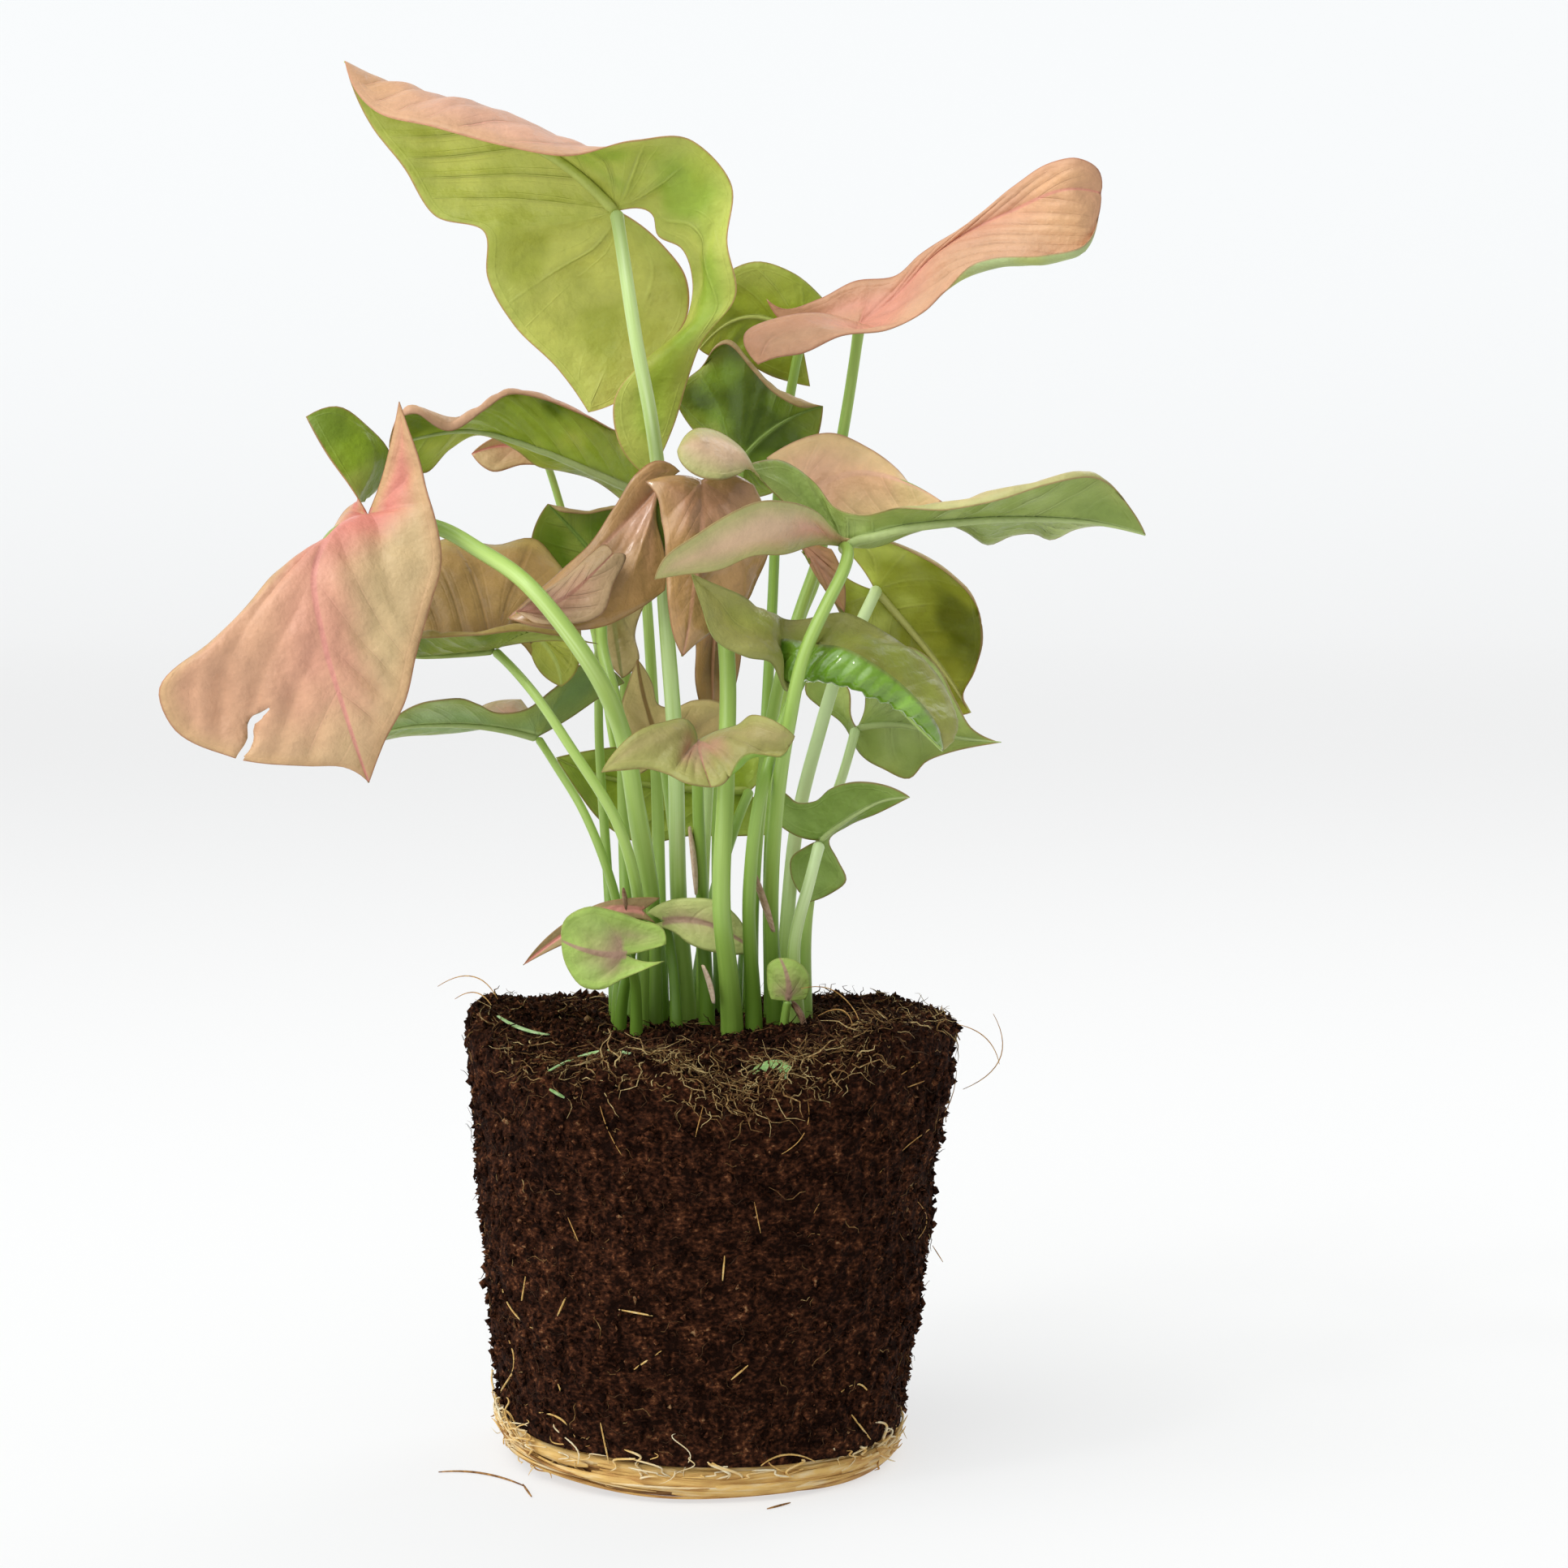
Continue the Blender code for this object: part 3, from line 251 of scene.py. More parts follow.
def strands(paths, radii, sides, flat=1.0):
    """Closed tubes along many paths at once, strand by strand: rings carried along without twist.

    paths is strand, step, xyz; radii is strand, step. flat squeezes each ring across its second axis.
    Returns points, triangles, the strand of each point and its share of the way.
    """
    count, steps, _ = paths.shape
    ahead = unit(np.gradient(paths, axis=1))
    upright = np.abs(ahead[:, 0, 2]) < 0.9
    side = np.where(upright[:, None], [0.0, 0.0, 1.0], [1.0, 0.0, 0.0])
    x = unit(np.cross(ahead[:, 0], side))
    angle = np.arange(sides) * 2 * np.pi / sides
    rings = np.empty((count, steps, sides, 3))
    for step in range(steps):
        way = ahead[:, step]
        x = unit(x - way * np.sum(x * way, -1, keepdims=True))
        y = np.cross(way, x)
        swing = np.cos(angle)[None, :, None] * x[:, None] + flat * np.sin(angle)[None, :, None] * y[:, None]
        rings[:, step] = paths[:, step, None] + radii[:, step, None, None] * swing
    size = steps * sides + 2
    points = np.concatenate([rings.reshape(count, -1, 3), paths[:, :1], paths[:, -1:]], 1)
    index = np.arange(steps * sides).reshape(steps, sides)
    walls = grid_faces(np.concatenate([index, index[:, :1]], 1))
    low = np.full(sides, size - 2)
    beside = np.roll(index, -1, 1)
    foot = np.stack([low, beside[0], index[0]], 1)
    top = np.stack([low + 1, index[-1], beside[-1]], 1)
    faces = np.vstack([walls, foot, top])
    faces = (faces[None] + np.arange(count)[:, None, None] * size).reshape(-1, 3)
    share = np.append(np.repeat(np.linspace(0, 1, steps), sides), [0, 1])
    return points.reshape(-1, 3), faces, np.repeat(np.arange(count), size), np.tile(share, count)


def ramp(tree, factor, stops):
    """A colour ramp with the given (place, colour) stops."""
    made = node(tree, "ShaderNodeValToRGB", [("Fac", factor)])
    elements = made.color_ramp.elements
    while len(elements) < len(stops):
        elements.new(0.5)
    for element, (place, colour) in zip(elements, stops):
        element.position = place
        element.color = (*colour, 1)
    return made.outputs["Color"]


def mark(tree, name):
    """The value of a mesh's own attribute."""
    return node(tree, "ShaderNodeAttribute", attribute_name=name).outputs["Fac"]


def maths(tree, operation, *values):
    """One arithmetic step."""
    return node(tree, "ShaderNodeMath", list(enumerate(values)), operation=operation).outputs[0]


def object_noise(tree, scale, detail=3.0, stretch=None):
    """Cloud noise on object coordinates, scale in turns to the metre."""
    place = node(tree, "ShaderNodeTexCoord").outputs["Object"]
    if stretch:
        place = node(tree, "ShaderNodeMapping", [("Vector", place), ("Scale", stretch)]).outputs[0]
    inputs = [("Vector", place), ("Scale", scale), ("Detail", detail)]
    return node(tree, "ShaderNodeTexNoise", inputs).outputs["Fac"]


def bump(tree, shader, height, strength, distance):
    """Fine relief from a height value."""
    inputs = [("Height", height), ("Strength", strength), ("Distance", distance)]
    tree.links.new(node(tree, "ShaderNodeBump", inputs).outputs["Normal"], shader.inputs["Normal"])


def root_skin(name, stops, roughness, stretch=(1.0, 1.0, 1.0)):
    """Dry root: a tone for each strand, streaked, with a fine fibrous relief."""
    material, tree, shader = new_material(name, stops[2][1], roughness)
    shader.inputs["Specular IOR Level"].default_value = 0.2
    cloud = object_noise(tree, 900, 4, stretch)
    tone = maths(tree, "ADD", mark(tree, "tone"), maths(tree, "MULTIPLY_ADD", cloud, 1.0, -0.5))
    tree.links.new(ramp(tree, tone, stops), shader.inputs["Base Color"])
    bump(tree, shader, object_noise(tree, 1800, 2, stretch), 0.6, 0.0005)
    return material


def mat_top(across, depth):
    """Top of the root mat: it rises to the left and towards the rim."""
    return MAT_HEIGHT + MAT_SLOPE * across + 1.5 * (across**2 + depth**2) / BALL_FOOT_RADIUS**2


def mat_core():
    """Closed dish: rings from the flat middle underneath, up the side and in over the top."""
    angle = np.linspace(0, 2 * np.pi, 161)[:-1]
    x, y = np.cos(angle), np.sin(angle)
    climb = 3.0 * np.maximum(-x, 0) ** 2
    rings = [np.stack([0 * x, 0 * y, 0 * x + 0.15], 1)]
    for radius in (18, REST_RADIUS, 41, 44.5):
        share = max(0.0, (radius - REST_RADIUS) / 9)
        rise = 0.15 + 1.2 * share**2 + climb * share**2
        rings.append(np.stack([radius * x, radius * y, rise + 0 * x], 1))
    low = rings[-1][:, 2]
    for share in (0.12, 0.35, 0.6, 0.85, 1):
        around = 45.2 + 0.4 * np.sin(5 * angle + 9 * share)
        high = mat_top(around * x, around * y)
        rings.append(np.stack([around * x, around * y, low + (high - low) * share], 1))
    for radius in (40, 20, 0):
        rings.append(np.stack([radius * x, radius * y, mat_top(radius * x, radius * y)], 1))
    index = np.arange(len(rings) * 160).reshape(len(rings), 160)
    index[0] = index[0, 0]
    index[-1] = index[-1, 0]
    faces = grid_faces(np.concatenate([index, index[:, :1]], 1))
    a, b, c = faces.T
    return np.vstack(rings), faces[(a != b) & (b != c) & (a != c)]


def rim_paths(rng, count, wander):
    """Strands wound round the mat's side: the angle runs on, radius and height wander slowly."""
    start = rng.uniform(0, 2 * np.pi, count)
    span = rng.uniform(0.9, 3.2, count) * rng.choice([-1, 1], count)
    u = np.linspace(0, 1, STRAND_STEPS)
    angle = start[:, None] + span[:, None] * u
    level = np.linspace(0.08, 0.98, count)[:, None] + rng.uniform(-wander, wander, count)[:, None] * u
    level = np.clip(level + 0.3 * wander * np.sin(angle * 3 + start[:, None] * 5), 0.04, 1.06)
    radius = 45.5 + 1.1 * np.sin(np.pi * np.clip(level, 0, 1)) + rng.uniform(-0.4, 0.6, count)[:, None]
    radius = radius + 0.35 * np.sin(7 * angle + start[:, None] * 9)
    x, y = radius * np.cos(angle), radius * np.sin(angle)
    low = 1.0 + 3.2 * np.maximum(-np.cos(angle), 0) ** 2
    return np.stack([x, y, low + (mat_top(x, y) - low) * level], -1)


def floor_paths(rng, count):
    """Strands coiled on the underside: nearly flat turns at every radius."""
    start = rng.uniform(0, 2 * np.pi, count)
    span = rng.uniform(1.0, 4.5, count)
    u = np.linspace(0, 1, STRAND_STEPS)
    angle = start[:, None] + span[:, None] * u
    radius = rng.uniform(9, 44, count)[:, None] + rng.uniform(-6, 6, count)[:, None] * u
    radius = radius + 0.8 * np.sin(5 * angle + start[:, None] * 9)
    x, y = radius * np.cos(angle), radius * np.sin(angle)
    rise = 3.0 * np.maximum(-np.cos(angle), 0) ** 2 + 1.2
    height = 0.62 + rise * np.clip((radius - REST_RADIUS) / 9, 0, 1) ** 2
    return np.stack([x, y, height], -1)


def fray_paths(rng, count):
    """Loose ends that leave the rim at a slant and curl away, most of them at the left and right."""
    side = rng.choice([np.pi + 0.1, np.pi + 0.5, -0.3], count, p=[0.45, 0.2, 0.35])
    start = np.where(rng.random(count) < 0.8, side + rng.normal(0, 0.26, count), rng.uniform(0, 6.28, count))
    u = np.linspace(0, 1, 16)
    angle = start[:, None] + rng.choice([-1, 1], count)[:, None] * rng.uniform(0.05, 0.3, count)[:, None] * u
    angle = angle + 0.02 * np.sin(11 * u + start[:, None] * 5)
    radius = 45.4 + rng.uniform(0.2, 4.4, count)[:, None] * u**1.5
    x, y = radius * np.cos(angle), radius * np.sin(angle)
    high = rng.uniform(0.3, 1.1, count)[:, None] * mat_top(x, y) + rng.uniform(-3, 5, count)[:, None] * u**1.5
    high = high + 0.8 * np.sin(9 * u + start[:, None] * 7)
    return np.stack([x, y, np.maximum(high, 0.8)], -1)


def climb_paths(rng, count):
    """Pale roots that leave the mat's top and climb the ball in curls, at the left, front and right."""
    side = rng.choice([np.pi + 0.12, np.pi * 1.5, -0.45], count, p=[0.55, 0.25, 0.2])
    start = side + rng.normal(0, 0.35, count)
    u = np.linspace(0, 1, 16)
    swing = rng.uniform(-0.22, 0.22, count)[:, None] * u + 0.03 * np.sin(8 * u + start[:, None] * 9)
    angle = start[:, None] + swing
    tall = rng.gamma(2.2, 2.4, count).clip(1.5, 15)[:, None]
    height = 6.2 - 2.0 * np.cos(angle) + tall * u - 0.3 * tall * u**3
    radius = BALL_FOOT_RADIUS + 0.095 * height + 0.5 + 0.5 * np.sin(6 * u + start[:, None] * 5)
    return np.stack([radius * np.cos(angle), radius * np.sin(angle), height], -1)


def build_mat():
    """The core, and every strap and strand, in one piece."""
    rng = np.random.default_rng(11)
    points, faces = mat_core()
    all_points, all_faces, tones = [points], [faces], [np.full(len(points), 0.12)]
    # Paths, thinnest and thickest radius, width over thickness, darkest and palest tone
    for paths, thin, thick, flat, dark, pale in (
        (rim_paths(rng, STRAPS, 0.10), 0.40, 0.70, 2.4, 0.36, 0.80),
        (rim_paths(rng, RIM_STRANDS, 0.30), 0.22, 0.42, 0.8, 0.15, 0.95),
        (floor_paths(rng, FLOOR_STRANDS), 0.4, 0.6, 0.75, 0.2, 0.7),
        (fray_paths(rng, LOOSE_ENDS), 0.12, 0.32, 0.75, 0.35, 0.95),
        (climb_paths(rng, CLIMBERS), 0.14, 0.36, 0.75, 0.55, 1.0),
    ):
        count, steps, _ = paths.shape
        u = np.linspace(0, 1, steps)
        radii = rng.uniform(thin, thick, count)[:, None] * (1 - 0.75 * np.abs(2 * u - 1) ** 6)
        points, faces, strand, share = strands(paths, radii, 6, flat)
        tone = rng.uniform(dark, pale, count)
        # Painted shade: the strands darken close to the table, where the mat sits on it.
        foot = 0.45 * np.exp(-points[:, 2] / 1.3)
        tones.append(tone[strand] - foot + 0.05 * np.sin(18 * share))
        all_faces.append(faces + sum(len(p) for p in all_points))
        all_points.append(points)
    material = root_skin("straw_roots", ROOT_RAMP, 0.62, (0.16, 0.16, 1.0))
    return new_mesh("coiled_roots", np.vstack(all_points), np.vstack(all_faces), material,
                    [("tone", np.concatenate(tones))])


coiled_roots = build_mat()
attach(coiled_roots, "root")
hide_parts("root_mat")

# Root ball
# Dark peat and coir moulded by the pot: a lumpy tapered block with a worn top that slopes and dips,
# crumbs standing out all over it, and a fuzz of short fibres that gives it its ragged outline.
SOIL_MOUNDS = (
    (-48, 2, 4.5, 11),
    (44, -28, 5.5, 14),
    (-9, -53, 2.5, 9),
    (8, -54, -6.5, 9),
    (-36, -41, -3.5, 11),
    (0, 52, -5.0, 26),
)
BALL_COLUMNS = 420
BALL_ROWS = (6, 126, 64)
SOIL_LUMPS = ((9.0, 0.7, 21), (3.6, 0.6, 22), (1.7, 0.6, 23))
CRUMBS = 15000
SHORT_FIBRES = 2600
TOP_FIBRES = 1500
FIBRE_STEPS = 6
PEAT = (0.035, 0.015, 0.008)
PEAT_RAMP = (
    (0.0, (0.009, 0.0028, 0.0012)),
    (0.35, (0.034, 0.0112, 0.0052)),
    (0.6, (0.072, 0.024, 0.0105)),
    (0.82, (0.16, 0.058, 0.024)),
    (1.0, (0.30, 0.17, 0.08)),
)
FIBRE_RAMP = (
    (0.0, (0.020, 0.008, 0.003)),
    (0.4, (0.070, 0.030, 0.010)),
    (0.7, (0.24, 0.13, 0.042)),
    (1.0, (0.56, 0.42, 0.19)),
)


def soil_height(across, depth):
    """Height of the soil's top: a level plane with rounded mounds and dips."""
    height = np.full(np.shape(across), BALL_HEIGHT, float)
    for x, y, high, spread in SOIL_MOUNDS:
        height = height + high * np.exp(-((across - x) ** 2 + (depth - y) ** 2) / (2 * spread**2))
    return height


def ball_middle(height):
    """How far the ball's middle has leant at a height."""
    return BALL_LEAN * height / BALL_HEIGHT


def ball_radius(angle, height):
    """The ball's radius: tapered by the pot, lumpy, and fuller at the upper right."""
    share = height / BALL_HEIGHT
    radius = BALL_FOOT_RADIUS + (BALL_TOP_RADIUS - BALL_FOOT_RADIUS) * share
    lumps = 0.6 * np.sin(3 * angle + 0.06 * height) + 0.4 * np.sin(7 * angle - 0.11 * height + 1.3)
    lumps = lumps + 0.3 * np.sin(12 * angle + 0.23 * height + 2.1)
    shoulder = 2.4 * np.exp(-(((height - 87) / 16) ** 2)) * np.maximum(np.cos(angle), 0) ** 3
    return radius + lumps + shoulder


def ball_point(angle, v):
    """Smooth ball by angle and a profile share: 0 to 1 underneath, 1 to 2 up the side, 2 to 3 over the top."""
    x, y = np.cos(angle), np.sin(angle)
    under = np.clip(v, 0, 1) * (ball_radius(angle, MAT_HEIGHT) - 0.8)
    foot = mat_top(under * x, under * y) + 0.3
    rim_radius = ball_radius(angle, BALL_HEIGHT)
    middle = ball_middle(BALL_HEIGHT)
    rim = soil_height(middle + rim_radius * x, rim_radius * y) - 2.5
    height = foot + (rim - foot) * np.clip(v - 1, 0, 1)
    side = np.where(v < 1, under, ball_radius(angle, height))
    inward = np.clip(v - 2, 0, 1)
    radius = np.where(v > 2, rim_radius * (1 - inward), side)
    across = np.where(v < 1, 0, ball_middle(height)) + radius * x
    depth = radius * y
    round_over = 2.5 * (1 - np.clip(inward / 0.06, 0, 1)) ** 2
    height = np.where(v > 2, soil_height(across, depth) - round_over, height)
    return np.stack([across, depth, height], -1)


def ball_out(angle, v):
    """Outward direction on the ball, from the steps to its neighbours in angle and profile."""
    v = np.clip(v, 0.02, 2.98)
    around = ball_point(angle + 0.02, v) - ball_point(angle - 0.02, v)
    along = ball_point(angle, v + 0.02) - ball_point(angle, v - 0.02)
    return unit(np.cross(around, along))


def rough_ball(angle, v):
    """The ball's surface with its lumps, which are left out where it sits on the root mat."""
    points = ball_point(angle, v)
    lumps = sum(high * noise(points, size, seed) for size, high, seed in SOIL_LUMPS)
    fade = np.clip((v - 1) / 0.05, 0, 1) * np.clip((3 - v) / 0.05, 0, 1)
    return points + ball_out(angle, v) * (lumps * fade)[..., None]


def soil_skin(name, stops):
    """Peat: dark crumbs of several browns with reddish flecks, matt, with a granular relief."""
    material, tree, shader = new_material(name, PEAT, 0.95)
    shader.inputs["Specular IOR Level"].default_value = 0.06
    coarse = object_noise(tree, 330, 5)
    fine = object_noise(tree, 900, 4, (1.0, 1.0, 1.4))
    mixed = maths(tree, "ADD", maths(tree, "MULTIPLY", coarse, 0.9), maths(tree, "MULTIPLY", fine, 1.1))
    tone = maths(tree, "ADD", maths(tree, "MULTIPLY_ADD", mixed, 1.9, -1.65), mark(tree, "tone"))
    tree.links.new(ramp(tree, tone, stops), shader.inputs["Base Color"])
    bump(tree, shader, fine, 0.9, 0.0012)
    return material


def build_ball():
    """The ball's skin as one closed grid of angle and profile."""
    angle = np.linspace(0, 2 * np.pi, BALL_COLUMNS + 1)[:-1]
    v = np.concatenate([np.linspace(0, 1, BALL_ROWS[0] + 1)[:-1], np.linspace(1, 2, BALL_ROWS[1] + 1)[:-1],
                        np.linspace(2, 3, BALL_ROWS[2] + 1)])
    angles, levels = np.meshgrid(angle, v)
    points = rough_ball(angles, levels)
    index = np.arange(points.size // 3).reshape(len(v), BALL_COLUMNS)
    index[0] = index[0, 0]
    index[-1] = index[-1, 0]
    faces = grid_faces(np.concatenate([index, index[:, :1]], 1))
    a, b, c = faces.T
    faces = faces[(a != b) & (b != c) & (a != c)]
    hollow = 0.10 * noise(points, 6.0, 31)
    return new_mesh("peat_block", points.reshape(-1, 3), faces, soil_skin("peat_skin", PEAT_RAMP),
                    [("tone", hollow.ravel())])


def scattered(rng, count, low, high):
    """Random angles and profile shares, even over the surface of the side and the top."""
    v = rng.uniform(low, high, count)
    v = np.where(v > 2, 3 - np.sqrt(np.maximum(3 - v, 0)), v)
    return rng.uniform(0, 2 * np.pi, count), v


def build_crumbs():
    """Crumbs: small uneven octahedra, half sunk in the ball's surface."""
    rng = np.random.default_rng(41)
    angle, v = scattered(rng, CRUMBS, 1.03, 2.98)
    place, out = rough_ball(angle, v), ball_out(angle, v)
    tips = np.array([[1, 0, 0], [-1, 0, 0], [0, 1, 0], [0, -1, 0], [0, 0, 1], [0, 0, -1]], float)
    sides = np.array([[0, 2, 4], [2, 1, 4], [1, 3, 4], [3, 0, 4], [2, 0, 5], [1, 2, 5], [3, 1, 5], [0, 3, 5]])
    size = rng.gamma(3.0, 0.19, CRUMBS).clip(0.22, 1.05)
    shape = tips[None] * rng.uniform(0.6, 1.2, (CRUMBS, 1, 3)) + rng.uniform(-0.55, 0.55, (CRUMBS, 6, 3))
    points = place[:, None] + out[:, None] * (0.3 * size)[:, None, None] + shape * size[:, None, None]
    faces = (sides[None] + np.arange(CRUMBS)[:, None, None] * 6).reshape(-1, 3)
    tone = rng.normal(0.0, 0.15, CRUMBS) + 0.6 * (rng.random(CRUMBS) < 0.015)
    return new_mesh("peat_crumbs", points.reshape(-1, 3), faces, soil_skin("crumb_skin", PEAT_RAMP),
                    [("tone", np.repeat(tone, 6))])


def fibre_paths(rng, place, out, long, stand):
    """Curling fibres: each starts on the surface, runs along or out of it, and bends to one side."""
    count = len(place)
    u = np.linspace(0, 1, FIBRE_STEPS)
    side = unit(np.cross(out, rng.normal(size=(count, 3))))
    bend = unit(np.cross(side, out)) * rng.uniform(-1, 1, count)[:, None]
    way = unit(side + out * stand[:, None])
    path = place[:, None] + way[:, None] * (long[:, None] * u)[..., None]
    path = path + bend[:, None] * (0.45 * long[:, None] * u**2)[..., None]
    wave = 0.12 * long[:, None] * np.sin(8 * u + rng.uniform(0, 6, count)[:, None])
    path = path + unit(bend + 0.01)[:, None] * wave[..., None]
    return path + out[:, None] * (0.15 + 0.6 * np.abs(wave))[..., None] - out[:, None] * (0.8 * (1 - u) ** 4)[:, None]


def build_fibres():
    """Short dark fibres over the whole ball, and golden ones on its top, most along the front rim."""
    rng = np.random.default_rng(43)
    angle, v = scattered(rng, SHORT_FIBRES, 1.03, 2.95)
    long = rng.gamma(2.2, 1.3, SHORT_FIBRES).clip(1.2, 9)
    stand = rng.exponential(0.18, SHORT_FIBRES) - 0.1
    side = fibre_paths(rng, rough_ball(angle, v), ball_out(angle, v), long, stand)
    tone = rng.beta(1.3, 3.6, SHORT_FIBRES)
    rim = rng.random(TOP_FIBRES) < 0.72
    v = np.where(rim, 2 + rng.normal(0.06, 0.06, TOP_FIBRES).clip(-0.05, 0.3), 3 - np.sqrt(rng.random(TOP_FIBRES)))
    front = np.pi * 1.5 + rng.normal(0.12, 0.5, TOP_FIBRES)
    angle = np.where(rim & (rng.random(TOP_FIBRES) < 0.8), front, rng.uniform(0, 2 * np.pi, TOP_FIBRES))
    long = rng.gamma(2.6, 1.5, TOP_FIBRES).clip(1.5, 10)
    stand = rng.exponential(0.22, TOP_FIBRES)
    top = fibre_paths(rng, rough_ball(angle, v), ball_out(angle, v), long, stand)
    paths = np.concatenate([side, top])
    tone = np.concatenate([tone, rng.beta(2.6, 2.4, TOP_FIBRES) + 0.1 * rim])
    u = np.linspace(0, 1, FIBRE_STEPS)
    thick = np.concatenate([rng.uniform(0.07, 0.18, SHORT_FIBRES), rng.uniform(0.08, 0.24, TOP_FIBRES)])
    points, faces, strand, _ = strands(paths, thick[:, None] * (1 - 0.7 * u**2), 3)
    return new_mesh("peat_fibres", points, faces, root_skin("fibre_skin", FIBRE_RAMP, 0.85),
                    [("tone", tone[strand])])


peat_block = build_ball()
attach(peat_block, "root")
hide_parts("root_ball")
for loose in (build_crumbs(), build_fibres()):
    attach(loose, "root")

# Leaves and stalks: how each is made
# A leaf is one blade, a midrib with two halves that fold and wave, carried by a long round stalk with
# a sheath at its foot. Blades are two skins and a thin rim, puffed up a little between the veins.
BUSH_GROWTH = 2.4
BUSH_REACH = 95.0
BUSH_LOW = 106.0
BUSH_FULL = 175.0
STALK_DEPTH = 12.0
STALK_STAND = 1.5
BLADE_CELL = 1.1
BLADE_THICK = 0.46
RIM_THICK = 0.26
TEAR_HALF = 0.85
TEAR_TAPER = 22
FAN_WANDER = 0.30
FAN_SIZE = 22.0
VEIN_SPACING = 7.5
VEIN_SWEEP = 0.55
LOBE_VEINS = 2.5
LOBE_RIB = 2.0
PUFF = 0.75
RIB_RIDGE = 0.75
STEM_SIDES = 14
STEM_STEP = 2.0
SHEATH_LENGTH = 26.0
SHEATH_GROWTH = 0.22
RIB_SINK = 0.06
# Shares of the stalk's radius, from its end, at which its rounded end has a ring
STEM_END = np.array([1.0, 0.7, 0.4, 0.15, 0.0])


def half(edge, inner=(), bulge=(0.0,), ripple=None, lip=None, share=None):
    """One half of a leaf, as seen from its upper side with the tip up.

    edge runs along the outer margin from the back lobe's end towards the tip, and inner along the
    lobe's inner margin from its end to the stalk. bulge lifts the middle towards the upper side, as
    shares of the half's width. ripple is the height, number and start of the margin's waves. lip is a
    rolled margin's width, angle, start and end. share is where the stalk's level falls on the margin.
    """
    return dict(edge=list(edge), inner=list(inner), bulge=bulge, ripple=ripple, lip=lip, share=share)


def placed(points):
    """Turn (across, depth, up) points, read on the upright plane seen from EYE, into places in space."""
    across, depth, up = np.asarray(points, float).reshape(-1, 3).T
    rise = np.clip((up - BUSH_LOW) / (BUSH_FULL - BUSH_LOW), 0, 1)
    grow = 1 + (BUSH_GROWTH - 1) * rise * rise * (3 - 2 * rise)
    depth = depth + BUSH_REACH * (np.tanh(grow * depth / BUSH_REACH) - np.tanh(depth / BUSH_REACH))
    near = (depth - EYE[1]) / -EYE[1]
    return np.stack([EYE[0] + (across - EYE[0]) * near, depth, EYE[2] + (up - EYE[2]) * near], 1)


def length(points):
    """Length of the line through the points."""
    return np.linalg.norm(np.diff(points, axis=0), axis=1).sum()


def spline(points, shares):
    """Smooth curve through the points, read at the given shares of its length."""
    if len(points) == 1:
        return np.repeat(points, len(shares), 0)
    if len(points) == 2:
        return points[0] + (points[1] - points[0]) * shares[:, None]
    steps = np.linalg.norm(np.diff(points, axis=0), axis=1)
    knots = np.concatenate([[0], np.cumsum(steps)]) / steps.sum()
    wide = np.diff(knots)
    slope = np.diff(points, axis=0) / wide[:, None]
    turn = np.empty_like(points)
    turn[1:-1] = slope[:-1] * wide[1:, None] + slope[1:] * wide[:-1, None]
    turn[1:-1] /= (wide[1:] + wide[:-1])[:, None]
    turn[0] = 2 * slope[0] - turn[1]
    turn[-1] = 2 * slope[-1] - turn[-2]
    i = np.clip(np.searchsorted(knots, shares, side="right") - 1, 0, len(knots) - 2)
    h = wide[i][:, None]
    u = ((shares - knots[i]) / wide[i])[:, None]
    return ((2 * u**3 - 3 * u**2 + 1) * points[i] + (u**3 - 2 * u**2 + u) * h * turn[i]
            + (3 * u**2 - 2 * u**3) * points[i + 1] + (u**3 - u**2) * h * turn[i + 1])


def smooth(values, rounds):
    """Each row blended with its neighbours, round by round."""
    for _ in range(rounds):
        near = np.concatenate([values[:1], values, values[-1:]])
        values = (near[:-2] + 2 * values + near[2:]) / 4
    return values


def lip_ease(share, lip):
    """How far a rolled margin is open along its way: 0 before its start and past its end, 1 between."""
    ease = np.clip(np.minimum(share - lip[2], lip[3] - share) / 0.12, 0, 1)
    return ease * ease * (3 - 2 * ease)


def rolled(rim, out, up, share, lip, columns):
    """Columns of points for a margin that rolls over along an arc, widest between its start and end."""
    width, angle, _, _ = lip
    turn = np.radians(abs(angle))
    radius = (width * lip_ease(share, lip) / turn)[:, None, None]
    u = np.linspace(0, 1, columns + 1)[None, 1:, None] * turn
    side = np.sign(angle) * up[:, None]
    return rim[:, None] + radius * (out[:, None] * np.sin(u) + side * (1 - np.cos(u)))


